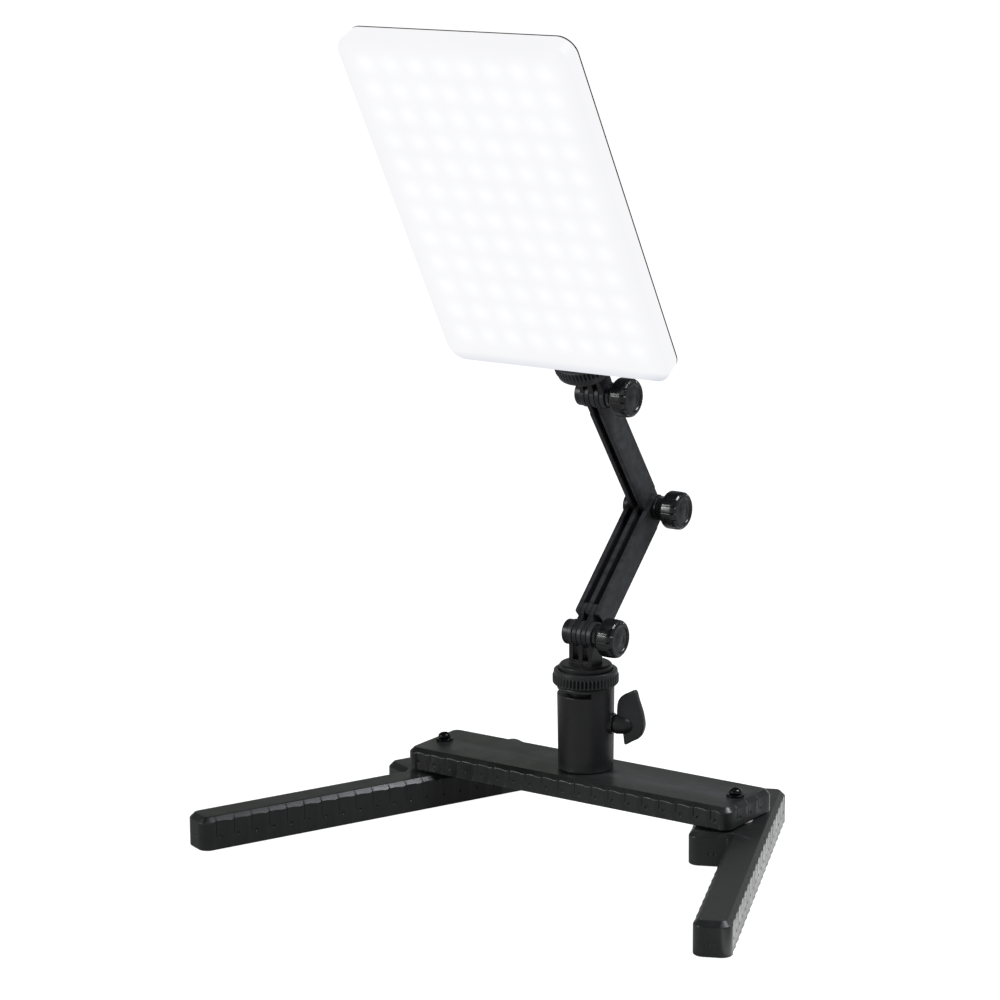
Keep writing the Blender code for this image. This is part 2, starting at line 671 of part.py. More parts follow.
def build_electronics(panel, finish):
    """Driver board, battery, dimmer body and inlet socket inside the box."""
    board = piece("driver_board", block((-21.8, 5.2, 78.0), (21.8, 6.8, 113.0)), panel,
                  finish["green_board"], smooth=False)
    parts = [((-19, -3.0, 82), (-9, 5.6, 92)), ((-5, 1.5, 82), (4, 5.6, 88)), ((7, -4.0, 94), (18, 5.6, 107))]
    for low, high in parts:
        join(board, block(low, high))
    pack = loft([upright(rounded(rectangle(-26, 19, 49.5, 75.5), 3.0), y) for y in (-9.4, 11.4)])
    piece("battery_pack", pack, panel, finish["battery"])
    dimmer = [(0, 7.1), (7.0, 7.1), (7.0, 12.6), (2.6, 12.6), (2.6, 21.0), (0, 21.0)]
    place = (DIMMER_X, 0, CONTROLS_Z)
    piece("dimmer_body", moved(along_y(turned(dimmer)), place), panel, finish["steel"])
    mouth = BOX_HALF + 0.2
    socket = [(0, mouth - 12), (6.0, mouth - 12), (6.0, mouth), (4.0, mouth), (4.0, mouth - 9.5), (0, mouth - 9.5)]
    inlet = moved(along_x(turned(socket)), (0, INLET_Y, INLET_Z))
    piece("inlet_socket", inlet, panel, finish["plastic"])


def build_controls(dimmer, button, finish):
    """Each frame is on its own axis, with Y out of the back of the panel."""
    start = COVER_BACK + GAP
    knob = [
        (0, start + 9.0), (6.4, start + 9.0), (7.4, start + 8.0), (8.4, start),
        (2.6 + GAP, start), (2.6 + GAP, 21.0 + GAP), (0, 21.0 + GAP),
    ]
    piece("dimmer_knob", along_y(turned(knob)), dimmer, finish["plastic"])
    cap = COVER_BACK + 2.4
    stem = [
        (0, 8.3), (2.0, 8.3), (2.0, 11.6), (5.2, 11.6), (5.2, 13.1), (4.0, 13.1),
        (4.0, cap - 0.6), (3.4, cap), (0, cap),
    ]
    piece("power_button", along_y(turned(stem)), button, finish["gloss"])


def centre_on_footprint(root):
    """Move the whole light so that the origin is in the middle of its footprint."""
    bpy.context.view_layer.update()
    points = [obj.matrix_world @ vertex.co for obj in bpy.data.objects
              if obj.type == "MESH" and not obj.hide_render for vertex in obj.data.vertices]
    for axis in (0, 1):
        values = [point[axis] for point in points]
        root.location[axis] -= (min(values) + max(values)) / 2
    bpy.context.view_layer.update()


def main():
    clear_scene()
    finish = make_materials()
    light = frame("light")

    base = frame("base", light)
    build_bar(base, finish)
    build_bar_fittings(base, finish)
    build_column(base, finish)
    headings = {"left": (-PIVOT_X, LEFT_LEG_HEADING), "right": (PIVOT_X, RIGHT_LEG_HEADING)}
    for side, (x, heading) in headings.items():
        build_leg(side, frame("leg_axis_" + side, base, (x, 0, 0), heading=heading), finish)
        build_pivot(side, frame("pivot_" + side, base, (x, 0, 0), heading=heading), finish)
    build_wing(frame("clamp_axis", base, (0, 0, WING_Z), heading=WING_HEADING), finish)

    head = frame("head_axis", base, (0, 0, EYE_Z))
    build_swivel("head_swivel", head, finish, EYE_Z - 45.0, STEM_R)
    build_hinge_nut("hinge_nut_lower", head, 0.0, 3.5, finish)
    build_ring("lock_ring_lower", frame("ring_axis", base, (0, 0, EYE_Z)), finish, -RING_TO_EYE, STEM_R + GAP)
    nut_end = -STACK - 3.5
    build_knob("hinge_knob_lower", frame("lower_bolt_axis", head), STACK + GAP, nut_end, finish)

    lower = frame("lower_hinge", head, lean=LOWER_LEAN)
    link = build_link("arm_lower", lower, LOWER_LINK, (2, 4), (1, 3, 5), finish)
    add_nut_boss(link, LOWER_LINK, 3.5, 6.5)
    knee_boss = [(2.9, STACK - 1), (6.4, STACK - 1), (6.4, STACK + 1.7), (2.9, STACK + 1.7)]
    join(link, moved(along_x(turned(knee_boss, ring=True)), (0, 0, LOWER_LINK)))
    build_hinge_nut("hinge_nut_knee", lower, LOWER_LINK, 3.5, finish)
    knee_bolt = frame("knee_bolt_axis", lower, (0, 0, LOWER_LINK))
    build_knob("hinge_knob_knee", knee_bolt, STACK + 1.7 + GAP, nut_end, finish)

    upper = frame("knee_hinge", lower, (0, 0, LOWER_LINK), lean=UPPER_LEAN - LOWER_LEAN)
    bore(build_link("arm_upper", upper, UPPER_LINK, (2, 4), (2, 4), finish), UPPER_LINK)

    top = frame("upper_hinge", upper, (0, 0, UPPER_LINK), lean=PANEL_LEAN - UPPER_LEAN)
    build_swivel("top_swivel", top, finish, 40.0, 3.2, flip=True)
    build_hinge_nut("hinge_nut_upper", top, 0.0, 3.5, finish)
    build_knob("hinge_knob_upper", frame("upper_bolt_axis", top), STACK + GAP, nut_end, finish)
    build_ring("lock_ring_upper", frame("upper_ring_axis", top), finish, RING_TO_EYE, 3.2 + GAP, flip=True)

    panel = frame("panel_axis", top)
    build_diffuser(panel, finish)
    build_lamp_board(panel, finish)
    build_housing(panel, finish)
    build_cover(panel, finish)
    build_electronics(panel, finish)
    build_controls(frame("dimmer_axis", panel, (DIMMER_X, 0, CONTROLS_Z)),
                   frame("button_axis", panel, (BUTTON_X, 0, CONTROLS_Z)), finish)
    centre_on_footprint(light)


main()
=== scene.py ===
"""Looks of the table-top LED panel light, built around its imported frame.

Shapes are written in millimetres in the frame of their own joint and become metres when a mesh is made.
"""
import json
import math

import bmesh
import bpy
import numpy as np
from mathutils import Matrix, Vector


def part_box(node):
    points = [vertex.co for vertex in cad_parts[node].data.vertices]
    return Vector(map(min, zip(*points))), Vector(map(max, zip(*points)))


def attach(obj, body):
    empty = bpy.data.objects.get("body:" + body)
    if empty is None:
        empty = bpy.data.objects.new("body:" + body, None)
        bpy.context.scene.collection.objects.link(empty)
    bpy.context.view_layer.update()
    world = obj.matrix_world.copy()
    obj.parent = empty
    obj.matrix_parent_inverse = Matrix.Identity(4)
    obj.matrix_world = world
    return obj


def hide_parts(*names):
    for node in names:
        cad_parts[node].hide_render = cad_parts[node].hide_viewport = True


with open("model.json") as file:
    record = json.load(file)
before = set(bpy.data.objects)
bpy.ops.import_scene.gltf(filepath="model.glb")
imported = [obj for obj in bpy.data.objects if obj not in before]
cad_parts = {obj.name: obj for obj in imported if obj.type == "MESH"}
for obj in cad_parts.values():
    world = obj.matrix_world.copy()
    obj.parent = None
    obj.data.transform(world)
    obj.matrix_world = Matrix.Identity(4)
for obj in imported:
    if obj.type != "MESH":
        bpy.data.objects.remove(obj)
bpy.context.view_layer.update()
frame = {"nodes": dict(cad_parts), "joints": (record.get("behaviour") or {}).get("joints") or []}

MM = 0.001
GAP = 0.3                     # clearance between neighbouring pieces
JOINTS = {joint["name"]: joint for joint in frame["joints"]}

# Base mouldings
PANEL_PITCH = 10.0            # fluted panels along the sides of the bar and the legs
FLUTE = 0.42                  # how deep a flute is at the middle of a panel
PIT_R = 0.9
PIT_DEPTH = 0.72
PAIR_R = 0.62                 # the two small pits on a narrow end
PAIR_DEPTH = 0.42
GROOVE_AT = -2.5              # fine groove beside each pit
GROOVE_HALF = 0.28
GROOVE_DEPTH = 0.34
CORNER = 5.5
BAR_CHAMFER = 2.4
BAR_WALL = 2.6
LEG_CHAMFER = 2.6
LEG_ARM = (0.2, 18.7)         # inner and outer side of the long arm, left of the pivot
LEG_BLOCK = (-20.4, 24.4)     # inner side and front of the block under the bar
LEG_ENDS = (-57.0, 152.0)     # heel and toe
SCREW_R = 1.9
SCREW_HEAD_R = 3.3
PADS = {"toe": (119.0, 145.0, 3.6, 15.4), "heel": (-50.0, -28.0, -13.4, 12.4)}
PAD_CORNER = 3.0

# Column and hinges
STEM_R = 7.9
EYE_R = 6.9
FINGER = 2.6
PITCH = FINGER + GAP
STACK = 2 * PITCH + FINGER / 2
BOLT_R = 2.4
LINK_HALF = 7.4
LINK_END = 8.2
FLANGE_R = 13.5
FLANGE_TO_EYE = 14.8
RING_TO_EYE = 17.8
RING_R = 17.0
RING_HEIGHT = 8.0
COLUMN_R = 14.6
COLUMN_BORE = 9.6             # inner radius at the slit
CLAMP_SCREW_R = 3.2
TEETH = 52
LOBES = 16

# Lit panel
PANEL_CORNER = 9.5
COVER_BOX = ((-34.0, 33.0), (34.0, 118.0))    # lower and upper corner of the box on the panel's back
COVER_CORNER = 7.0
COVER_FRONT = 13.5
COVER_BACK = COVER_FRONT + 2.2
SKIRT = 1.9                   # how far the diffuser's edge wraps past its rim, round the housing plate
LAMP_PITCH = 14.46
LAMPS = (8, 12)


# ---------------------------------------------------------------- places in the frame

def place_on(origin, x_axis, z_axis):
    """A matrix with X and Z as given, at a point in metres."""
    x = Vector(x_axis).normalized()
    z = Vector(z_axis).normalized()
    y = z.cross(x)
    rotation = Matrix((x, y, z)).transposed().to_4x4()
    return Matrix.Translation(Vector(origin)) @ rotation


def joint_at(name):
    """Where a joint is, in metres."""
    return Vector(JOINTS[name]["pos_m"])


def middle(node):
    """The middle of a node's box, in metres."""
    low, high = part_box(node)
    return (low + high) / 2


FOOT_HINGE = joint_at("foot_hinge")
KNEE_HINGE = joint_at("knee_hinge")
PANEL_HINGE = joint_at("panel_tilt")
ACROSS = Vector((1, 0, 0))
UP = Vector((0, 0, 1))
BASE = Matrix.Translation((FOOT_HINGE.x, FOOT_HINGE.y, 0))
HEAD = Matrix.Translation(FOOT_HINGE)
CLAMP = place_on(joint_at("clamp_turn"), JOINTS["clamp_turn"]["axis"], UP)
LOWER = place_on(FOOT_HINGE, ACROSS, KNEE_HINGE - FOOT_HINGE)
UPPER = place_on(KNEE_HINGE, ACROSS, PANEL_HINGE - KNEE_HINGE)
PANEL = place_on(PANEL_HINGE, ACROSS, JOINTS["panel_turn"]["axis"])
LOWER_LINK = (KNEE_HINGE - FOOT_HINGE).length / MM
UPPER_LINK = (PANEL_HINGE - KNEE_HINGE).length / MM


def leg_place(side):
    """A leg's frame: X along the leg to its toe, read from where the toe pad lies."""
    pivot = joint_at(side + "_leg_swing")
    pad = middle("pad_" + side + "_toe") - pivot
    x0, x1, y0, y1 = PADS["toe"]
    pad_x = (x0 + x1) / 2
    pad_y = (y0 + y1) / 2
    heading = math.atan2(pad.y, pad.x) - math.atan2(pad_y, pad_x)
    return place_on((pivot.x, pivot.y, 0), (math.cos(heading), math.sin(heading), 0), UP)


def in_panel(node):
    """A node's middle in the panel's own frame, in millimetres."""
    return PANEL.inverted() @ middle(node) / MM


def on_panel(node):
    """The place on the panel's back of a node whose axis runs along the panel's Y."""
    spot = in_panel(node)
    return PANEL @ Matrix.Translation(Vector((spot.x, 0, spot.z)) * MM)


# ---------------------------------------------------------------- meshes

def shell(name, points, faces, place, sharp=38.0, weighted=True):
    """An object from points in millimetres in the frame of its place."""
    mesh = bpy.data.meshes.new(name)
    mesh.from_pydata([tuple(float(v) * MM for v in p) for p in points], [], faces)
    mesh.update()
    obj = bpy.data.objects.new(name, mesh)
    bpy.context.scene.collection.objects.link(obj)
    obj.matrix_world = place
    face_out(obj)
    obj["sharp"] = sharp
    obj["weighted"] = weighted
    return obj


def face_out(obj):
    """Merge points that coincide and turn every face outwards."""
    work = bmesh.new()
    work.from_mesh(obj.data)
    bmesh.ops.remove_doubles(work, verts=work.verts, dist=2e-6)
    bmesh.ops.recalc_face_normals(work, faces=work.faces)
    work.to_mesh(obj.data)
    work.free()


def loft(rings, closed=False):
    """Points and faces through rings of equal length; closed joins the last ring to the first."""
    count = len(rings[0])
    points = [p for ring in rings for p in ring]
    faces = []
    last = len(rings) if closed else len(rings) - 1
    for r in range(last):
        low, high = r * count, (r + 1) % len(rings) * count
        for c in range(count):
            d = (c + 1) % count
            faces.append((low + c, low + d, high + d, high + c))
    if not closed:
        faces.append(tuple(range(count)))
        faces.append(tuple(range(len(points) - 1, len(points) - 1 - count, -1)))
    return points, faces


def turned(profile, segments=96, closed=False, wave=None):
    """Revolve (radius, height) pairs about Z. wave(angle, row) changes the radius."""
    rings = []
    for row, (radius, height) in enumerate(profile):
        ring = []
        for k in range(segments):
            angle = 2 * math.pi * k / segments
            reach = max(radius + (wave(angle, row) if wave else 0.0), 0.01)
            ring.append((reach * math.cos(angle), reach * math.sin(angle), height))
        rings.append(ring)
    return loft(rings, closed)


def soft_profile(corners, radius=0.4, steps=3):
    """A (radius, height) profile with its inner corners rounded."""
    out = [corners[0]]
    for before, here, after in zip(corners, corners[1:], corners[2:]):
        b, h, a = (np.array(p, float) for p in (before, here, after))
        back, ahead = b - h, a - h
        reach = min(radius, 0.45 * np.linalg.norm(back), 0.45 * np.linalg.norm(ahead))
        start = h + back / np.linalg.norm(back) * reach
        end = h + ahead / np.linalg.norm(ahead) * reach
        for k in range(steps + 1):
            t = k / steps
            out.append(tuple((1 - t) ** 2 * start + 2 * t * (1 - t) * h + t * t * end))
    out.append(corners[-1])
    return out


def along_x(points):
    """Points built along Z, laid along X."""
    return [(z, y, -x) for x, y, z in points]


def along_y(points):
    """Points built along Z, laid along Y."""
    return [(x, z, -y) for x, y, z in points]


def shifted(points, offset):
    return [(x + offset[0], y + offset[1], z + offset[2]) for x, y, z in points]


def helper(points, faces, place):
    """A shape that only cuts or joins."""
    return shell("helper", points, faces, place)


def combine(obj, others, operation):
    """Cut or join solids into obj and keep the result as its mesh."""
    for other in others:
        step = obj.modifiers.new("step", "BOOLEAN")
        step.operation = operation
        step.solver = "EXACT"
        step.object = other
    bpy.context.view_layer.update()
    evaluated = obj.evaluated_get(bpy.context.evaluated_depsgraph_get())
    mesh = bpy.data.meshes.new_from_object(evaluated)
    obj.modifiers.clear()
    obj.data = mesh
    for other in others:
        bpy.data.objects.remove(other)
    return obj


def carve(obj, *others):
    return combine(obj, others, "DIFFERENCE")


def weld(obj, *others):
    return combine(obj, others, "UNION")


def softened(obj, width, segments=2, angle=40.0):
    """A small bevel on every hard edge, as a mould leaves it."""
    step = obj.modifiers.new("softened", "BEVEL")
    step.width = width * MM
    step.segments = segments
    step.limit_method = "ANGLE"
    step.angle_limit = math.radians(angle)
    step.harden_normals = False
    step.use_clamp_overlap = True
    return obj


def finished(obj, body, surface, stands_for=()):
    """Shade, paint and attach a piece."""
    obj.data.materials.clear()
    obj.data.materials.append(surface)
    obj.data.shade_smooth()
    obj.data.set_sharp_from_angle(angle=math.radians(obj["sharp"]))
    if obj["weighted"]:
        step = obj.modifiers.new("even_shading", "WEIGHTED_NORMAL")
        step.keep_sharp = True
        step.weight = 80
    del obj["sharp"]
    del obj["weighted"]
    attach(obj, body)
    if stands_for:
        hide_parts(*stands_for)
    return obj


def rod(radius, start, end, segments=48):
    """A plain round bar along Z, for cutters."""
    return turned([(radius, start), (radius, end)], segments)


def rounded_outline(corners, radius, steps=8, inset=0.0):
    """A convex outline with round corners, moved inwards by inset."""
    count = len(corners)
    out = []
    for i, corner in enumerate(corners):
        here = Vector(corner)
        back = (here - Vector(corners[i - 1])).normalized()
        ahead = (Vector(corners[(i + 1) % count]) - here).normalized()
        side_back = Vector((-back.y, back.x))
        side_ahead = Vector((-ahead.y, ahead.x))
        here = here + (side_back + side_ahead) * inset / (1 + side_back.dot(side_ahead))
        bend = max(radius - inset, 0.2)
        turn = math.atan2(back.x * ahead.y - back.y * ahead.x, back.dot(ahead))
        start = here - back * bend * math.tan(turn / 2)
        centre = start + side_back * bend
        arm = start - centre
        for k in range(steps + 1):
            angle = turn * k / steps
            out.append((centre.x + arm.x * math.cos(angle) - arm.y * math.sin(angle),
                        centre.y + arm.x * math.sin(angle) + arm.y * math.cos(angle)))
    return out


def level(outline, z):
    """An outline laid flat at a height."""
    return [(x, y, z) for x, y in outline]


def upright(outline, y):
    """An outline standing across Y."""
    return [(x, y, z) for x, z in outline]


def rectangle(x0, x1, y0, y1):
    return [(x0, y0), (x1, y0), (x1, y1), (x0, y1)]


def smooth_loop(knots, steps=6):
    """A closed Catmull-Rom curve through the knots."""
    out = []
    count = len(knots)
    for i in range(count):
        p0, p1, p2, p3 = (np.array(knots[(i + k - 1) % count], float) for k in range(4))
        for k in range(steps):
            t = k / steps
            out.append(tuple(0.5 * (2 * p1 + (p2 - p0) * t + (2 * p0 - 5 * p1 + 4 * p2 - p3) * t * t
                                    + (3 * p1 - p0 - 3 * p2 + p3) * t ** 3)))
    return out


def shrunk(outline, inset):
    """A closed outline moved inwards along its own normals."""
    points = np.array(outline, float)
    tangent = np.roll(points, -1, 0) - np.roll(points, 1, 0)
    tangent /= np.linalg.norm(tangent, axis=1)[:, None]
    inward = np.stack([-tangent[:, 1], tangent[:, 0]], 1)
    area = 0.5 * np.sum(points[:, 0] * np.roll(points[:, 1], -1) - np.roll(points[:, 0], -1) * points[:, 1])
    return points + inward * inset * (1 if area > 0 else -1)


# ---------------------------------------------------------------- materials

def new_surface(name):
    made = bpy.data.materials.new(name)
    made.use_nodes = True
    return made, made.node_tree, made.node_tree.nodes["Principled BSDF"]


def object_point(tree, stretch=(1, 1, 1)):
    coords = tree.nodes.new("ShaderNodeTexCoord")
    mapping = tree.nodes.new("ShaderNodeMapping")
    mapping.inputs["Scale"].default_value = stretch
    tree.links.new(coords.outputs["Object"], mapping.inputs["Vector"])
    return mapping.outputs["Vector"]


def noise(tree, scale, detail=3.0, roughness=0.55, stretch=(1, 1, 1)):
    """Cloudy noise; the scale is in cycles for each metre."""
    texture = tree.nodes.new("ShaderNodeTexNoise")
    texture.inputs["Scale"].default_value = scale
    texture.inputs["Detail"].default_value = detail
    texture.inputs["Roughness"].default_value = roughness
    tree.links.new(object_point(tree, stretch), texture.inputs["Vector"])
    return texture.outputs["Fac"]


def ramp(tree, source, stops):
    """Colours along a value: stops are (position, colour)."""
    node = tree.nodes.new("ShaderNodeValToRGB")
    while len(node.color_ramp.elements) < len(stops):
        node.color_ramp.elements.new(0.5)
    for element, (position, colour) in zip(node.color_ramp.elements, stops):
        element.position = position
        element.color = (*colour, 1.0)
    tree.links.new(source, node.inputs["Fac"])
    return node.outputs["Color"]


def spread(tree, source, low, high, start=0.3, end=0.7):
    """Map a value from start..end to low..high."""
    node = tree.nodes.new("ShaderNodeMapRange")
    for socket, value in zip(("From Min", "From Max", "To Min", "To Max"), (start, end, low, high)):
        node.inputs[socket].default_value = value
    tree.links.new(source, node.inputs["Value"])
    return node.outputs["Result"]


def maths(tree, operation, *values):
    node = tree.nodes.new("ShaderNodeMath")
    node.operation = operation
    for socket, value in zip(node.inputs, values):
        if isinstance(value, (int, float)):
            socket.default_value = value
        else:
            tree.links.new(value, socket)
    return node.outputs["Value"]


def blended(tree, factor, first, second):
    """Mix two colours, each a socket or a tuple, by a factor."""
    node = tree.nodes.new("ShaderNodeMix")
    node.data_type = "RGBA"
    tree.links.new(factor, node.inputs[0])
    for socket, colour in zip((node.inputs[6], node.inputs[7]), (first, second)):
        if isinstance(colour, tuple):
            socket.default_value = (*colour, 1.0)
        else:
            tree.links.new(colour, socket)
    return node.outputs[2]


def bumped(tree, shader, layers):
    """Stack bump layers: each is (height, strength, distance in millimetres)."""
    normal = None
    for height, strength, distance in layers:
        node = tree.nodes.new("ShaderNodeBump")
        node.inputs["Strength"].default_value = strength
        node.inputs["Distance"].default_value = distance * MM
        tree.links.new(height, node.inputs["Height"])
        if normal:
            tree.links.new(normal, node.inputs["Normal"])
        normal = node.outputs["Normal"]
    tree.links.new(normal, shader.inputs["Normal"])


def edges(tree, start=0.515, end=0.57):
    """High along convex edges, from the mesh's own curvature."""
    geometry = tree.nodes.new("ShaderNodeNewGeometry")
    return spread(tree, geometry.outputs["Pointiness"], 0.0, 1.0, start, end)


def moulded_plastic(name, dark, light, roughness=0.46, grain=1.0, rubbed=(0.05, 0.052, 0.056),
                    specular=0.45):
    """Black moulded plastic: spark-eroded grain, faint flow clouds, edges rubbed a little lighter."""
    made, tree, shader = new_surface(name)
    fine = noise(tree, 2600, 2.0, 0.7)
    cloud = noise(tree, 90, 4.0, 0.6)
    flow = noise(tree, 260, 3.0, 0.5, (0.25, 1, 1))
    base = ramp(tree, cloud, [(0.3, dark), (0.7, light)])
    speck = ramp(tree, fine, [(0.62, (0, 0, 0)), (0.75, tuple(0.5 * c for c in light))])
    add = tree.nodes.new("ShaderNodeMix")
    add.data_type = "RGBA"
    add.blend_type = "ADD"
    add.inputs[0].default_value = 1.0
    tree.links.new(base, add.inputs[6])
    tree.links.new(speck, add.inputs[7])
    worn = maths(tree, "MULTIPLY", edges(tree), spread(tree, flow, 0.35, 1.0))
    tree.links.new(blended(tree, worn, add.outputs[2], rubbed), shader.inputs["Base Color"])
    rough = maths(tree, "ADD", spread(tree, cloud, roughness - 0.05, roughness + 0.05),
                  spread(tree, fine, -0.04, 0.04))
    tree.links.new(rough, shader.inputs["Roughness"])
    shader.inputs["Specular IOR Level"].default_value = specular
    bumped(tree, shader, [(cloud, 0.25 * grain, 0.05), (fine, 0.5 * grain, 0.02)])
    return made


def gloss_plastic(name, colour, roughness=0.22):
    """Polished hard plastic with the faint haze and sink marks of an injection moulding."""
    made, tree, shader = new_surface(name)
    haze = noise(tree, 420, 4.0, 0.6)
    sink = noise(tree, 110, 2.0, 0.5)
    lighter = tuple(1.8 * c for c in colour)
    tree.links.new(ramp(tree, haze, [(0.35, colour), (0.75, lighter)]), shader.inputs["Base Color"])
    tree.links.new(spread(tree, haze, roughness - 0.04, roughness + 0.08), shader.inputs["Roughness"])
    shader.inputs["Specular IOR Level"].default_value = 0.55
    bumped(tree, shader, [(sink, 0.06, 0.04), (haze, 0.1, 0.01)])
    return made


def rubber(name):
    """Dull rubber with a fine grain and a little dust."""
    made, tree, shader = new_surface(name)
    grain = noise(tree, 1800, 3.0, 0.7)
    dust = noise(tree, 140, 4.0, 0.6)
    tree.links.new(ramp(tree, dust, [(0.35, (0.012, 0.012, 0.012)), (0.8, (0.035, 0.034, 0.032))]),
                   shader.inputs["Base Color"])
    tree.links.new(spread(tree, grain, 0.78, 0.95), shader.inputs["Roughness"])
    shader.inputs["Specular IOR Level"].default_value = 0.3
    bumped(tree, shader, [(grain, 0.6, 0.03)])
    return made


def metal(name, colour, roughness, brush=(1, 1, 1), tarnish=0.75, metallic=1.0):
    """Turned, rolled or plated metal: fine lines along the stretch and a cloudy tarnish."""
    made, tree, shader = new_surface(name)
    lines = noise(tree, 3000, 2.0, 0.6, brush)
    cloud = noise(tree, 160, 4.0, 0.6)
    dull = tuple(tarnish * c for c in colour)
    tree.links.new(ramp(tree, cloud, [(0.3, dull), (0.7, colour)]), shader.inputs["Base Color"])
    tree.links.new(spread(tree, lines, roughness - 0.08, roughness + 0.1), shader.inputs["Roughness"])
    shader.inputs["Metallic"].default_value = metallic
    bumped(tree, shader, [(lines, 0.3, 0.01)])
    return made


def soft_white(name, colour=(0.72, 0.70, 0.64)):
    """Natural nylon."""
    made, tree, shader = new_surface(name)
    cloud = noise(tree, 200, 3.0, 0.5)
    tree.links.new(ramp(tree, cloud, [(0.3, tuple(0.9 * c for c in colour)), (0.7, colour)]),
                   shader.inputs["Base Color"])
    tree.links.new(spread(tree, cloud, 0.42, 0.55), shader.inputs["Roughness"])
    shader.inputs["Subsurface Weight"].default_value = 0.2
    shader.inputs["Subsurface Scale"].default_value = 0.001
    bumped(tree, shader, [(noise(tree, 1500, 2.0), 0.2, 0.01)])
    return made


def circuit(name, mask, copper):
    """Solder mask with the faint relief of traces below it."""
    made, tree, shader = new_surface(name)
    cells = tree.nodes.new("ShaderNodeTexBrick")
    cells.inputs["Scale"].default_value = 260.0
    cells.inputs["Mortar Size"].default_value = 0.05
    cells.offset = 0.5
    tree.links.new(object_point(tree), cells.inputs["Vector"])
    cells.inputs["Color1"].default_value = (*mask, 1)
    cells.inputs["Color2"].default_value = (*tuple(0.8 * c for c in mask), 1)
    cells.inputs["Mortar"].default_value = (*copper, 1)
    tree.links.new(cells.outputs["Color"], shader.inputs["Base Color"])
    cloud = noise(tree, 500, 3.0)
    tree.links.new(spread(tree, cloud, 0.3, 0.45), shader.inputs["Roughness"])
    bumped(tree, shader, [(cells.outputs["Fac"], 0.3, 0.03), (cloud, 0.1, 0.01)])
    return made


def wrap_film(name):
    """Blue shrink film with fine creases."""
    made, tree, shader = new_surface(name)
    crease = noise(tree, 240, 4.0, 0.7, (1, 4, 1))
    tree.links.new(ramp(tree, crease, [(0.35, (0.025, 0.06, 0.16)), (0.7, (0.05, 0.11, 0.26))]),
                   shader.inputs["Base Color"])
    tree.links.new(spread(tree, crease, 0.2, 0.36), shader.inputs["Roughness"])
    bumped(tree, shader, [(crease, 0.5, 0.08)])
    return made


def lamp_weight(tree, x, z, centre_z):
    """A soft spot over each lamp: one at its centre, falling to nothing half a pitch away."""
    columns, rows = LAMPS
    near = []
    for value, count, centre in ((x, columns, 0.0), (z, rows, centre_z)):
        cells = maths(tree, "DIVIDE", maths(tree, "SUBTRACT", value, centre * MM), LAMP_PITCH * MM)
        phase = maths(tree, "FRACT", maths(tree, "ADD", cells, count / 2))
        near.append(maths(tree, "SUBTRACT", phase, 0.5))
        inside = maths(tree, "LESS_THAN", maths(tree, "ABSOLUTE", cells), count / 2)
        near.append(inside)
    across, in_columns, along, in_rows = near
    squared = maths(tree, "ADD", maths(tree, "MULTIPLY", across, across),
                    maths(tree, "MULTIPLY", along, along))
    spot = maths(tree, "EXPONENT", maths(tree, "MULTIPLY", squared, -9.0))
    return maths(tree, "MULTIPLY", spot, maths(tree, "MULTIPLY", in_columns, in_rows))


def edge_fade(tree, value, centre, half, width):
    """One inside a band about the centre, falling to zero over width at its edges, all in millimetres."""
    away = maths(tree, "ABSOLUTE", maths(tree, "SUBTRACT", value, centre * MM))
    return spread(tree, away, 1.0, 0.0, (half - width) * MM, half * MM)


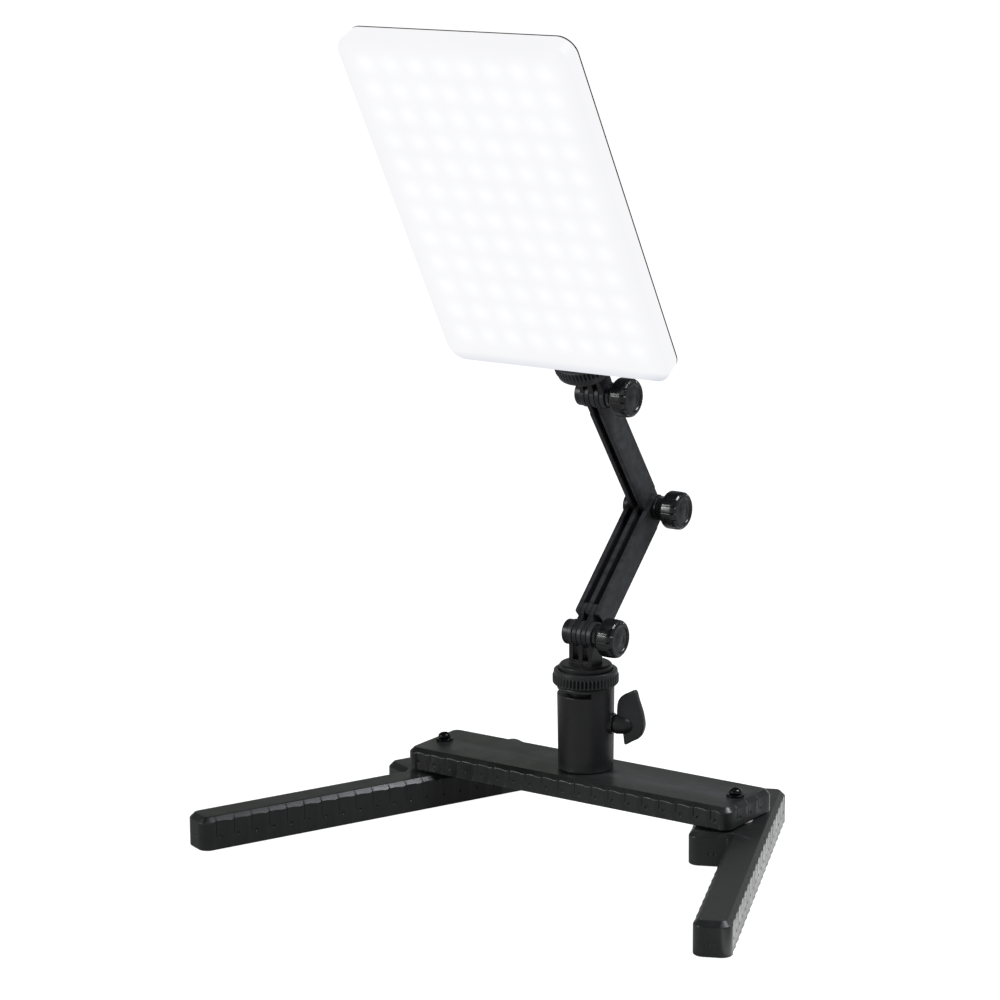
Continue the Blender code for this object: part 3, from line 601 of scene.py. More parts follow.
def diffuser_surface(name, half_width, low, high):
    """Milk-white acrylic lit from behind: soft lamp spots, a dimmer rim and painted bluish shade at the
    bottom edge, lower right, top left and left edge.
    """
    made, tree, shader = new_surface(name)
    split = tree.nodes.new("ShaderNodeSeparateXYZ")
    tree.links.new(object_point(tree), split.inputs["Vector"])
    x, z = split.outputs["X"], split.outputs["Z"]
    centre = (low + high) / 2
    spot = lamp_weight(tree, x, z, LAMP_CENTRE)
    across = edge_fade(tree, x, 0.0, half_width, 10.0)
    along = edge_fade(tree, z, centre, (high - low) / 2, 12.0)
    lit = maths(tree, "POWER", maths(tree, "MULTIPLY", across, along), 0.7)
    # Painted shade: the cool mask below dims the glow by up to a third and turns it bluer along the bottom
    # edge, most towards the right, at the top left corner and along the left edge.
    under = spread(tree, z, 1.0, 0.0, low * MM, (low + 6.0) * MM)
    over = spread(tree, z, 0.0, 1.0, (high - 3.5) * MM, high * MM)
    right = spread(tree, x, 0.0, 1.0, (half_width - 16.0) * MM, half_width * MM)
    left = spread(tree, x, 1.0, 0.0, -half_width * MM, (5.0 - half_width) * MM)
    cool = maths(tree, "MULTIPLY", under, maths(tree, "ADD", 0.35, maths(tree, "MULTIPLY", right, 0.65)))
    cool = maths(tree, "ADD", cool, maths(tree, "MULTIPLY", maths(tree, "MULTIPLY", over, left), 0.5))
    left_edge_shade = spread(tree, x, 0.35, 0.0, -half_width * MM, (1.2 - half_width) * MM)
    cool = maths(tree, "MINIMUM", maths(tree, "ADD", cool, left_edge_shade), 1.0)
    mist = noise(tree, 30, 2.0, 0.5)
    glow = maths(tree, "ADD", spread(tree, lit, 0.925, 0.955, 0.0, 1.0), maths(tree, "MULTIPLY", spot, 0.055))
    # Painted shade: the glow is dimmed where the cool mask is high.
    glow = maths(tree, "MULTIPLY", glow, spread(tree, cool, 1.0, 0.66, 0.0, 1.0))
    glow = maths(tree, "MULTIPLY", glow, spread(tree, mist, 0.994, 1.004))
    # The bluish colour of the painted shade, following the cool mask.
    shade_tint = blended(tree, cool, (0.985, 0.985, 1.0), (0.80, 0.86, 1.0))
    tree.links.new(ramp(tree, mist, [(0.3, (0.012, 0.012, 0.013)), (0.7, (0.018, 0.018, 0.020))]),
                   shader.inputs["Base Color"])
    tree.links.new(shade_tint, shader.inputs["Emission Color"])
    tree.links.new(glow, shader.inputs["Emission Strength"])
    tree.links.new(spread(tree, noise(tree, 1200, 2.0), 0.28, 0.36), shader.inputs["Roughness"])
    shader.inputs["Specular IOR Level"].default_value = 0.02
    bumped(tree, shader, [(noise(tree, 700, 2.0), 0.08, 0.01)])
    return made


def dial_surface(name):
    """Knob plastic with one painted pointer line along its top."""
    made, tree, shader = new_surface(name)
    split = tree.nodes.new("ShaderNodeSeparateXYZ")
    tree.links.new(object_point(tree), split.inputs["Vector"])
    x, z = split.outputs["X"], split.outputs["Z"]
    line = maths(tree, "LESS_THAN", maths(tree, "ABSOLUTE", x), 0.45 * MM)
    line = maths(tree, "MULTIPLY", line, maths(tree, "GREATER_THAN", z, 1.8 * MM))
    grain = noise(tree, 2200, 2.0, 0.7)
    base = ramp(tree, grain, [(0.3, (0.012, 0.012, 0.013)), (0.7, (0.022, 0.022, 0.024))])
    tree.links.new(blended(tree, line, base, (0.7, 0.7, 0.68)), shader.inputs["Base Color"])
    tree.links.new(spread(tree, grain, 0.34, 0.48), shader.inputs["Roughness"])
    bumped(tree, shader, [(grain, 0.3, 0.02)])
    return made


LAMP_CENTRE = (in_panel("led_board")).z


def black(share, cool=0.0):
    """A near black of a given brightness, a little cooler where asked."""
    return (share, share, share + cool)


def make_surfaces():
    """Every material but the diffuser's, by what it is used for."""
    return {
        "base": moulded_plastic("base_moulding", (0.0125, 0.0135, 0.0130), (0.0185, 0.0200, 0.0190), 0.36),
        "column": moulded_plastic("column_moulding", black(0.0085, 0.0010), black(0.0130, 0.0015), 0.40, 0.6),
        "arm": moulded_plastic("arm_moulding", (0.0075, 0.0070, 0.0080), (0.0105, 0.0100, 0.0115), 0.4, 0.6,
                               specular=0.3),
        "knob": gloss_plastic("knob_gloss", (0.0060, 0.0062, 0.0070)),
        "ring": moulded_plastic("ring_moulding", black(0.0100, 0.0010), black(0.0150, 0.0010), 0.4, 0.6),
        "wing": moulded_plastic("wing_moulding", black(0.0110, 0.0010), black(0.0160, 0.0010), 0.44, 0.8),
        "housing": moulded_plastic("housing_moulding", black(0.0100, 0.0010), black(0.0160, 0.0010), 0.5, 1.3,
                                   rubbed=black(0.0135, 0.0010)),
        "rubber": rubber("foot_rubber_black"),
        "steel": metal("zinc_steel", (0.56, 0.57, 0.58), 0.36, (1, 1, 0.2)),
        "black_steel": metal("black_oxide_steel", (0.035, 0.036, 0.040), 0.24, (1, 1, 0.3), 0.6, 0.85),
        "brass": metal("turned_brass", (0.72, 0.54, 0.24), 0.28, (1, 1, 6)),
        "aluminium": metal("rolled_aluminium", (0.76, 0.77, 0.79), 0.34, (0.1, 1, 2)),
        "nylon": soft_white("natural_nylon"),
        "lamp_board": circuit("lamp_board_white", (0.80, 0.80, 0.77), (0.86, 0.80, 0.52)),
        "driver": circuit("driver_board_green", (0.02, 0.14, 0.06), (0.05, 0.24, 0.10)),
        "battery": wrap_film("battery_film"),
        "dial": dial_surface("dial_plastic"),
    }


# ---------------------------------------------------------------- moulded bar and legs

PANEL_MARKS = (-5.0, -4.4, -3.8, -3.2, -2.85, -2.65, -2.5, -2.35, -2.15, -1.7, -1.2, -0.95, -0.7, -0.35,
               0.0, 0.35, 0.7, 0.95, 1.2, 1.8, 2.6, 3.4, 4.2)
PAIR_MARKS = tuple(0.2 * k for k in range(-11, 12))
PAIR_APART = 1.3
FAR = 99.0
SHORT_END = 22.0              # sides shorter than this carry a pair of small pits and no flutes


class Columns:
    """One entry for each column of a side wall: place, outward direction and what is cut there."""

    def __init__(self):
        self.point, self.normal, self.depth, self.near, self.pit_r, self.groove = [], [], [], [], [], []

    def add(self, point, normal, depth=0.0, near=FAR, pit_r=PIT_R, groove=FAR):
        self.point.append(tuple(point))
        self.normal.append(tuple(normal))
        self.depth.append(depth)
        self.near.append(near)
        self.pit_r.append(pit_r)
        self.groove.append(groove)

    def arrays(self):
        return [np.array(a, float) for a in
                (self.point, self.normal, self.depth, self.near, self.pit_r, self.groove)]


def straight_side(columns, start, end, zero):
    """Columns along one side, with panel centres a whole number of pitches from the point zero."""
    length = np.linalg.norm(end - start)
    along = (end - start) / length
    outward = (along[1], -along[0])
    if length < SHORT_END:
        centres = np.array([length / 2])
        marks = PAIR_MARKS
    else:
        first = (np.array(zero) - start) @ along
        centres = first + PANEL_PITCH * np.arange(-40, 41)
        centres = centres[(centres > 1.5) & (centres < length - 1.5)]
        marks = PANEL_MARKS
    places = {0.0, length}
    places |= {c + m for c in centres for m in marks if 0.15 < c + m < length - 0.15}
    for at in sorted(places):
        offset = (at - centres)[np.argmin(np.abs(at - centres))]
        if length < SHORT_END:
            columns.add(start + along * at, outward, 0.0, abs(abs(offset) - PAIR_APART), PAIR_R)
            continue
        fade = min(1.0, at / 1.6, (length - at) / 1.6)
        depth = FLUTE * max(0.0, 1 - (offset / (PANEL_PITCH / 2)) ** 2) * fade
        columns.add(start + along * at, outward, depth, abs(offset), PIT_R, abs(offset - GROOVE_AT))


def wall_columns(corners, zero, steps=9):
    """Columns round a closed outline given counter-clockwise."""
    columns = Columns()
    count = len(corners)
    arcs = []
    for i, corner in enumerate(corners):
        here = np.array(corner, float)
        back = here - np.array(corners[i - 1], float)
        ahead = np.array(corners[(i + 1) % count], float) - here
        back, ahead = back / np.linalg.norm(back), ahead / np.linalg.norm(ahead)
        turn = math.atan2(back[0] * ahead[1] - back[1] * ahead[0], back @ ahead)
        bend = CORNER if turn > 0 else 1.6
        reach = bend * math.tan(abs(turn) / 2)
        arcs.append((here - back * reach, here + ahead * reach, back, turn, bend))
    for i in range(count):
        start, end, back, turn, bend = arcs[i]
        outward = np.array([back[1], -back[0]])
        centre = start - outward * bend * (1 if turn > 0 else -1)
        for k in range(1, steps):
            angle = turn * k / steps
            spin = np.array([outward[0] * math.cos(angle) - outward[1] * math.sin(angle),
                             outward[0] * math.sin(angle) + outward[1] * math.cos(angle)])
            columns.add(centre + spin * bend * (1 if turn > 0 else -1), spin)
        straight_side(columns, end, arcs[(i + 1) % count][0], zero)
    return columns.arrays()


def bend_rows(corner, arrive, leave, reach, steps=3):
    """Rows of a small rounded edge: corner and directions are (inset, height) pairs of arrays."""
    rows = []
    for k in range(steps + 1):
        t = k / steps
        rows.append(tuple(c - (1 - t) ** 2 * reach * a + t * t * reach * b
                          for c, a, b in zip(corner, arrive, leave)))
    return rows


def wall_rows(depth, near, pit_r, groove, low, high, chamfer, pit_z):
    """(inset, height) of every row of a fluted side, from the bottom edge to the top face."""
    lip = 0.6
    rows = []
    for k in range(4):
        angle = math.pi / 6 * k
        inset = depth + (lip - depth) * (1 - math.sin(angle))
        rows.append((inset, low + lip * (1 - math.cos(angle)) + 0 * depth))
    shoulder = high - chamfer
    groove_foot = low + 0.42 * (shoulder - low)
    levels = [pit_z + m for m in (-1.3, -1.05, -0.8, -0.5, -0.25, 0.0, 0.25, 0.5, 0.8, 1.05, 1.3)]
    levels += [groove_foot + m for m in (0.4, 1.2)] + [shoulder - 1.6, shoulder - 0.6]
    levels = sorted(z for z in levels if low + lip + 0.1 < z)
    pit_depth = np.where(pit_r == PIT_R, PIT_DEPTH, PAIR_DEPTH)
    for z in levels:
        pit = pit_depth * np.clip(1 - (near ** 2 + (z - pit_z) ** 2) / pit_r ** 2, 0, 1)
        cutting = GROOVE_DEPTH * np.clip(1 - (groove / GROOVE_HALF) ** 2, 0, 1)
        cutting = cutting * min(1.0, max(0.0, (z - groove_foot) / 1.2))
        rows.append((depth + pit + cutting, z + 0 * depth))
    cutting = GROOVE_DEPTH * np.clip(1 - (groove / GROOVE_HALF) ** 2, 0, 1)
    slope = math.sqrt(0.5)
    rows += bend_rows((depth + cutting, shoulder + depth), (0, 1), (slope, slope), 0.42)
    rows += bend_rows((chamfer + 0 * depth, high + 0 * depth), (slope, slope), (1, 0), 0.35)
    rows.append((chamfer + 1.4 + 0 * depth, high + 0 * depth))
    return rows


def ring_of(point, normal, inset, height):
    """One row of a side wall: every column moved inwards by its inset."""
    flat = point - normal * np.asarray(inset)[:, None]
    return [(x, y, z) for (x, y), z in zip(flat, np.broadcast_to(height, len(flat)))]


def moulded_bar(surfaces):
    """The base bar: an open-bottomed shell with fluted sides."""
    low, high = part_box("base_bar")
    half_x, half_y = (high.x - low.x) / 2 / MM, (high.y - low.y) / 2 / MM
    bottom, top = low.z / MM, high.z / MM
    corners = rectangle(-half_x, half_x, -half_y, half_y)
    point, normal, depth, near, pit_r, groove = wall_columns(corners, (0, 0))
    wall = np.full(len(depth), BAR_WALL)
    rings = [ring_of(point, normal, wall, top - 3.0), ring_of(point, normal, wall, bottom)]
    rows = wall_rows(depth, near, pit_r, groove, bottom, top, BAR_CHAMFER, bottom + 4.3)
    rings += [ring_of(point, normal, inset, height) for inset, height in rows]
    bar = shell("base_bar_moulding", *loft(rings), BASE, sharp=50)
    drills = []
    for side in ("left", "right"):
        at = (joint_at(side + "_leg_swing").x - FOOT_HINGE.x) / MM
        points, faces = rod(SCREW_R + GAP, bottom, top + 4)
        drills.append(helper(shifted(points, (at, 0, 0)), faces, BASE))
    carve(bar, *drills)
    finished(bar, "base", surfaces["base"], ["base_bar"])


def moulded_leg(side, surfaces):
    """A leg: long arm to the toe and a wider block under the bar."""
    place = leg_place(side)
    low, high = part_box("leg_" + side)
    bottom, top = low.z / MM, high.z / MM
    (heel, toe), (block, front), (inner, outer) = LEG_ENDS, LEG_BLOCK, LEG_ARM
    corners = [(heel, block), (front, block), (front, inner), (toe, inner), (toe, outer), (heel, outer)]
    point, normal, depth, near, pit_r, groove = wall_columns(corners, (1.6, -1.0))
    rows = wall_rows(depth, near, pit_r, groove, bottom, top, LEG_CHAMFER, bottom + 6.5)
    rings = [ring_of(point, normal, inset, height) for inset, height in rows]
    leg = shell("leg_moulding_" + side, *loft(rings), place, sharp=50)
    cutters = [helper(*rod(SCREW_R + GAP, bottom - 3, top + 3), place)]
    cutters.append(helper(*turned([(4.4, bottom - 3), (4.4, 6.0)], 6), place))
    for sides in PADS.values():
        room = rounded_outline(rectangle(*sides), PAD_CORNER, 6, -GAP)
        cutters.append(helper(*loft([level(room, bottom - 3), level(room, 2.1)]), place))
    carve(leg, *cutters)
    finished(leg, side + "_leg", surfaces["base"], ["leg_" + side])
    for spot, sides in PADS.items():
        rings = [level(rounded_outline(rectangle(*sides), PAD_CORNER, 6, inset), z)
                 for z, inset in ((0.0, 0.5), (0.15, 0.15), (0.5, 0.0), (1.8, 0.0))]
        pad = shell("foot_pad_%s_%s" % (side, spot), *loft(rings), place)
        finished(pad, side + "_leg", surfaces["rubber"], ["pad_%s_%s" % (side, spot)])


def turned_outline(outline, turn):
    """An outline turned about its origin."""
    cosine, sine = math.cos(turn), math.sin(turn)
    return [(x * cosine - y * sine, x * sine + y * cosine) for x, y in outline]


def cross_cutter(radius, top, depth, place):
    """Two tapered bars that cut a cross recess."""
    arms = []
    levels = ((top - depth, 0.35 * radius, 0.16 * radius), (top + 1.0, 0.62 * radius, 0.24 * radius))
    for turn in (0.0, math.pi / 2):
        rings = [level(turned_outline(rectangle(-reach, reach, -half, half), turn), z)
                 for z, reach, half in levels]
        arms.append(helper(*loft(rings), place))
    return arms


def pivot_screws(surfaces):
    """The screw that each leg swings on, and the washer under its head."""
    for side in ("left", "right"):
        place = leg_place(side)
        low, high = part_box("pivot_screw_" + side)
        top, foot = high.z / MM, low.z / MM
        head = top - 2.7
        corners = [(0.01, foot), (SCREW_R, foot), (SCREW_R, head), (SCREW_HEAD_R, head),
                   (SCREW_HEAD_R, head + 1.2), (2.5, head + 2.2), (1.2, top - 0.1), (0.01, top)]
        screw = shell("pivot_screw_head_" + side, *turned(soft_profile(corners, 0.5, 3), 48), place)
        carve(screw, *cross_cutter(SCREW_HEAD_R, top, 1.5, place))
        finished(screw, side + "_leg", surfaces["black_steel"], ["pivot_screw_" + side])
        low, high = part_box("pivot_washer_" + side)
        corners = rectangle(SCREW_R + GAP, 4.5, low.z / MM, high.z / MM)
        washer = shell("pivot_washer_ring_" + side, *turned(corners, 64, closed=True), place)
        softened(washer, 0.15)
        finished(washer, "base", surfaces["black_steel"], ["pivot_washer_" + side])


# ---------------------------------------------------------------- column, clamp and rings

def column_tube(surfaces):
    """The column, with a slit round its front left below the rim."""
    low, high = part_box("column")
    foot, top = low.z / MM, high.z / MM
    radius = COLUMN_R
    slit_low, slit_high = top - 4.6, top - 1.9

    def reach(z):
        return radius - 0.5 + 0.5 * (z - foot) / (top - foot)

    floor = 38.0                          # bottom of the bore that the stem turns in
    profile = [(CLAMP_SCREW_R, foot), (radius - 0.9, foot), (radius - 0.5, foot + 0.4)]
    profile += [(reach(z), z) for z in (foot + 4, foot + 20, slit_low - 0.6)]
    slit_rows = [len(profile) + 2, len(profile) + 3]
    profile += [(reach(z), z) for z in (slit_low - 0.25, slit_low, slit_low + 0.1,
                                        slit_high - 0.1, slit_high, slit_high + 0.25)]
    profile += [(radius, top - 1.0), (radius - 0.15, top - 0.5), (radius - 0.6, top), (STEM_R + GAP, top),
                (STEM_R + GAP, floor), (CLAMP_SCREW_R, floor)]
    span = (math.radians(137), math.radians(313))

    def slit(angle, row):
        if not span[0] < angle < span[1]:
            return 0.0
        if row in slit_rows:
            return COLUMN_BORE - radius
        return -0.12 if row in (slit_rows[0] - 1, slit_rows[1] + 1) else 0.0

    column = shell("column_tube", *turned(profile, 144, closed=True, wave=slit), BASE, sharp=40)
    points, faces = turned(soft_profile([(0.01, radius - 4), (5.6, radius - 4), (5.5, radius + 0.6),
                                         (0.01, radius + 0.6)], 0.4), 48)
    boss = helper(along_x(points), faces, CLAMP)
    weld(column, boss)
    points, faces = rod(CLAMP_SCREW_R, STEM_R - 2, radius + 4)
    carve(column, helper(along_x(points), faces, CLAMP))
    finished(column, "base", surfaces["column"], ["column"])


def wing(surfaces):
    """The clamp's wing knob: a round hub and two unequal swept blades."""
    hub = 15.5                            # where the hub starts, from the column's axis
    corners = [(0.01, 26.2), (1.9, 25.9), (3.5, 24.6), (4.7, 22.2), (5.1, hub + 1.5), (4.6, hub),
               (0.01, hub)]
    points, faces = turned(soft_profile(corners, 0.6, 3), 64)
    knob = shell("wing_knob_hub", along_x(points), faces, CLAMP, sharp=45)
    points, faces = rod(CLAMP_SCREW_R, hub - 2, 20.9)
    carve(knob, helper(along_x(points), faces, CLAMP))
    finished(knob, "clamp", surfaces["wing"], ["wing_knob"])
    blade = smooth_loop([(17.2, 5.0), (17.4, 10.6), (18.2, 13.2), (20.0, 15.4), (23.0, 17.0), (26.1, 18.5),
                         (27.5, 17.6), (28.6, 13.8), (30.8, 7.1), (31.8, 1.0), (31.0, -2.9), (29.1, -6.0),
                         (25.3, -8.2), (22.3, -10.0), (21.1, -9.5), (20.5, -5.0), (19.4, -1.0),
                         (18.0, 2.0)], 5)
    edge = ((2.1, 0.75), (2.0, 0.45), (1.7, 0.18), (1.2, 0.03))
    sections = [(-y, inset) for y, inset in edge] + [(0.0, 0.0)] + [(y, inset) for y, inset in reversed(edge)]
    rings = [upright(shrunk(blade, inset), y) for y, inset in sections]
    blades = shell("wing_knob_blades", *loft(rings), CLAMP, sharp=60)
    finished(blades, "clamp", surfaces["wing"], ["wing_knob"])


def lock_ring(name, node, body, place, near, bore, surfaces, flip=False):
    """A knurled lock ring; near is its face towards the hinge."""
    way = -1 if flip else 1
    far = near - RING_HEIGHT * way
    recess = FLANGE_R + GAP
    step = near - 4.1 * way
    plain = [(bore, far), (RING_R - 2.0, far), (RING_R - 1.0, far + 0.3 * way),
             (RING_R - 0.7, far + 0.7 * way)]
    knurl = [(RING_R - 0.2, far + 1.0 * way), (RING_R, far + 1.5 * way), (RING_R, near - 3.0 * way),
             (RING_R - 0.25, near - 2.6 * way)]
    rim = [(RING_R - 0.72, near - 2.35 * way), (RING_R - 0.8, near - 0.5 * way),
           (RING_R - 1.1, near - 0.15 * way), (RING_R - 1.5, near), (recess + 0.4, near),
           (recess, near - 0.4 * way), (recess, step), (bore, step)]
    toothed = range(len(plain), len(plain) + len(knurl))

    def teeth(angle, row):
        if row not in toothed:
            return 0.0
        deep = 1.15 if row in (toothed[1], toothed[2]) else 0.7
        return -deep * (0.5 + 0.5 * math.cos(TEETH * angle)) ** 0.8

    points, faces = turned(plain + knurl + rim, TEETH * 5, closed=True, wave=teeth)
    ring = shell(name, points, faces, place, sharp=48)
    finished(ring, body, surfaces["ring"], [node])


# ---------------------------------------------------------------- hinges and arms

def finger_span(position):
    """Where finger 1 to 5 of a hinge starts and ends along its bolt."""
    centre = (position - 3) * PITCH
    return centre - FINGER / 2, centre + FINGER / 2


def finger_plate(outline, x0, x1, place, edge=0.35):
    """A plate across X from an outline in Y and Z, with rounded edges."""
    rings = []
    for x, inset in ((x0, edge), (x0 + 0.3 * edge, 0.3 * edge), (x0 + edge, 0.0), (x1 - edge, 0.0),
                     (x1 - 0.3 * edge, 0.3 * edge), (x1, edge)):
        rings.append([(x, y, z) for y, z in shrunk(outline, inset)])
    return helper(*loft(rings), place)


def eye_outline(eye_z, base_z, half_depth, steps=28):
    """A finger seen from the side: a round eye on a straight neck."""
    way = 1 if base_z < eye_z else -1
    lead = math.acos(min(half_depth / EYE_R, 1.0))
    out = []
    for k in range(steps + 1):
        angle = -lead + (math.pi + 2 * lead) * k / steps
        out.append((EYE_R * math.cos(angle), eye_z + way * EYE_R * math.sin(angle)))
    neck = base_z + 0.3 * (eye_z - base_z)
    out += [(-half_depth, neck), (-half_depth, base_z), (-half_depth + 0.4, base_z)]
    out += [(half_depth - 0.4, base_z), (half_depth, base_z), (half_depth, neck)]
    return out


def boss_parts(z, boss, place, ring=6.5):
    """The nut-side boss with its hexagon pocket: what is joined, and what is cut."""
    outer = -STACK - boss
    corners = [(0.01, outer), (ring, outer), (ring, -STACK + 1.0), (0.01, -STACK + 1.0)]
    points, faces = turned(soft_profile(corners, 0.6, 3), 64)
    join = helper(shifted(along_x(points), (0, 0, z)), faces, place)
    points, faces = turned([(4.62, outer - 2), (4.62, outer + 3.6)], 6)
    pocket = helper(shifted(along_x(points), (0, 0, z)), faces, place)
    return join, pocket


def bolt_bore(z, place):
    """A cutter for the cross bolt's bore."""
    points, faces = rod(BOLT_R + GAP, -STACK - 8, STACK + 8)
    return helper(shifted(along_x(points), (0, 0, z)), faces, place)


def swivel(name, node, body, place, stem_end, stem_radius, surfaces, flip=False):
    """Flange, stem and three prongs; under the panel it is turned over."""
    way = -1 if flip else 1
    under = RING_TO_EYE + 3.5 + GAP
    corners = [(0.01, -stem_end), (stem_radius, -stem_end), (stem_radius, -under), (FLANGE_R - 0.6, -under),
               (FLANGE_R, -under + 0.6), (FLANGE_R, -FLANGE_TO_EYE - 0.9), (FLANGE_R - 0.9, -FLANGE_TO_EYE),
               (0.01, -FLANGE_TO_EYE)]
    profile = [(r, z * way) for r, z in soft_profile(corners, 0.35, 3)]
    piece = shell(name, *turned(profile, 96), place, sharp=42)
    foot = -(FLANGE_TO_EYE + 1.2) * way
    parts = [finger_plate(eye_outline(0, foot, 4.8), *finger_span(p), place) for p in (1, 3, 5)]
    web = sorted((-(FLANGE_TO_EYE + 0.8) * way, -(FLANGE_TO_EYE - 2.0) * way))
    outline = rounded_outline(rectangle(-STACK + 0.2, STACK - 0.2, -4.6, 4.6), 1.0, 4)
    parts.append(helper(*loft([[(x, y, z) for x, y in outline] for z in web]), place))
    join, pocket = boss_parts(0.0, 3.5, place)
    weld(piece, join, *parts)
    carve(piece, pocket, bolt_bore(0.0, place))
    finished(piece, body, surfaces["column"], [node])


def rib_outline(low, high, half, eye_low, eye_high):
    """A rib of a link from the side, ending in a round eye at either end where asked."""
    out = []
    steps = 24
    lead = math.acos(min(half / EYE_R, 1.0)) if half < EYE_R else 0.0
    if eye_high:
        for k in range(steps + 1):
            angle = -lead + (math.pi + 2 * lead) * k / steps
            out.append((EYE_R * math.cos(angle), high + EYE_R * math.sin(angle)))
        out = [(half, high - LINK_END + 0.4), (EYE_R, high - LINK_END + 1.2)] + out
        out += [(-EYE_R, high - LINK_END + 1.2), (-half, high - LINK_END + 0.4)]
    else:
        out += [(half, high - LINK_END - 0.8), (half - 0.8, high - LINK_END), (-half + 0.8, high - LINK_END),
                (-half, high - LINK_END - 0.8)]
    if eye_low:
        out += [(-half, low + LINK_END - 0.4), (-EYE_R, low + LINK_END - 1.2)]
        for k in range(steps + 1):
            angle = math.pi + math.pi * k / steps
            out.append((EYE_R * math.cos(angle), low + EYE_R * math.sin(angle)))
        out += [(EYE_R, low + LINK_END - 1.2), (half, low + LINK_END - 0.4)]
    else:
        out += [(-half, low + LINK_END + 0.8), (-half + 0.8, low + LINK_END), (half - 0.8, low + LINK_END),
                (half, low + LINK_END + 0.8)]
    return out


def link(name, node, body, place, length, low, high, surfaces, extra=(), pockets=()):
    """A link of parallel ribs, with recessed webs between them at front and back."""
    ends = sorted(set(low) | set(high))
    positions = range(ends[0], ends[-1] + 1)
    parts = []
    for position in positions:
        x0, x1 = finger_span(position)
        if position in high:
            rib = rib_outline(0, length, LINK_HALF, position in low, True)
            parts.append(finger_plate(rib, x0, x1, place))
        elif position in low:
            # full depth at the eye, recessed along the web
            eye = rib_outline(0, 2 * LINK_END + 6.0, LINK_HALF, True, False)
            parts.append(finger_plate(eye, x0, x1, place))
    core_x0, core_x1 = finger_span(ends[0])[0] + 0.5, finger_span(ends[-1])[1] - 0.5
    core = rectangle(-LINK_HALF + 3.0, LINK_HALF - 3.0, LINK_END, length - LINK_END)
    parts.append(finger_plate(core, core_x0, core_x1, place, 0.15))
    head = rectangle(-LINK_HALF + 0.6, LINK_HALF - 0.6, LINK_END + 0.2, LINK_END + 4.6)
    if not set(high) <= set(low):
        parts.append(finger_plate(head, core_x0, core_x1, place, 0.15))
    first = parts.pop(0)
    first.name = name
    first["sharp"] = 42
    weld(first, *parts, *extra)
    bores = [bolt_bore(0.0, place), bolt_bore(length, place)]
    carve(first, *pockets, *bores)
    finished(first, body, surfaces["arm"], [node])


def arms(surfaces):
    """Both links; the lower one carries the knee's nut boss and a collar on the knob side."""
    join, pocket = boss_parts(LOWER_LINK, 3.5, LOWER)
    corners = [(2.9, STACK - 1), (6.4, STACK - 1), (6.4, STACK + 1.7), (2.9, STACK + 1.7)]
    points, faces = turned(corners, 64, closed=True)
    knob_side = helper(shifted(along_x(points), (0, 0, LOWER_LINK)), faces, LOWER)
    link("lower_arm_ribs", "arm_lower", "lower_arm", LOWER, LOWER_LINK, (2, 4), (1, 3, 5), surfaces,
         [join, knob_side], [pocket])
    link("upper_arm_ribs", "arm_upper", "upper_arm", UPPER, UPPER_LINK, (2, 4), (2, 4), surfaces)


def hand_knob(name, node, body, place, at, surfaces):
    """A polished fluted knob on a cross bolt."""
    low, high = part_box(node)
    start, end = (low.x - place.translation.x) / MM, (high.x - place.translation.x) / MM
    grip = (high - low).z / 2 / MM if node == "hinge_knob_lower" else 9.9
    length = end - start
    stations = [(0.0, 3.0, 0.0), (0.0, 5.9, 0.0), (0.15, 6.2, 0.0), (0.5, 6.35, 0.0), (2.0, 6.5, 0.0),
                (2.6, 6.9, 0.0), (3.6, 8.0, 0.05), (4.4, 8.9, 0.10), (4.9, grip - 0.45, 0.14),
                (5.4, grip - 0.1, 0.16), (5.9, grip, 0.18), (length - 3.4, grip, 0.18),
                (length - 2.5, grip, 0.5), (length - 1.7, grip - 0.12, 0.85), (length - 1.1, grip - 0.5, 0.9),
                (length - 0.55, grip - 1.1, 0.7), (length - 0.2, grip - 1.8, 0.3), (length, grip - 2.4, 0.0),
                (length - 0.15, grip - 3.0, 0.0), (length - 0.75, grip - 3.5, 0.0), (length - 0.8, 3.2, 0.0),
                (length - 0.55, 2.8, 0.0), (length - 0.55, 0.4, 0.0)]
    depths = [flute for x, radius, flute in stations]

    def flutes(angle, row):
        phase = abs(2 * ((angle * LOBES / (2 * math.pi)) % 1) - 1)
        flat = stations[row][1] * (1 - math.cos(math.pi / LOBES) / math.cos(math.pi / LOBES * phase))
        groove = max(0.0, (phase - 0.74) / 0.26) ** 1.3
        return -(min(depths[row] * 3, 1.0) * flat + depths[row] * groove)

    profile = [(radius, start + x) for x, radius, flute in stations]
    points, faces = turned(profile, LOBES * 16, wave=flutes)
    knob = shell(name, shifted(along_x(points), (0, 0, at)), faces, place, sharp=40)
    points, faces = rod(BOLT_R + GAP, start - 2, start + 9.0)
    carve(knob, helper(shifted(along_x(points), (0, 0, at)), faces, place))
    finished(knob, body, surfaces["knob"], [node])


# ---------------------------------------------------------------- lit panel and its back

def panel_size():
    """The diffuser's half width, bottom, top, front and rim in the panel's frame."""
    inverse = PANEL.inverted()
    points = np.array([inverse @ v.co / MM for v in frame["nodes"]["diffuser"].data.vertices])
    (half, rim, high), (front, low) = points.max(0), points.min(0)[1:]
    return half, low, high, front, rim


def panel_outline(y, inset):
    """The panel's outline, moved inwards by inset, at a depth."""
    half, low, high = panel_size()[:3]
    return upright(rounded_outline(rectangle(-half, half, low, high), PANEL_CORNER, 20, inset), y)


def cover_box():
    """The corners of the box on the panel's back."""
    (x0, z0), (x1, z1) = COVER_BOX
    return rectangle(x0, x1, z0, z1)


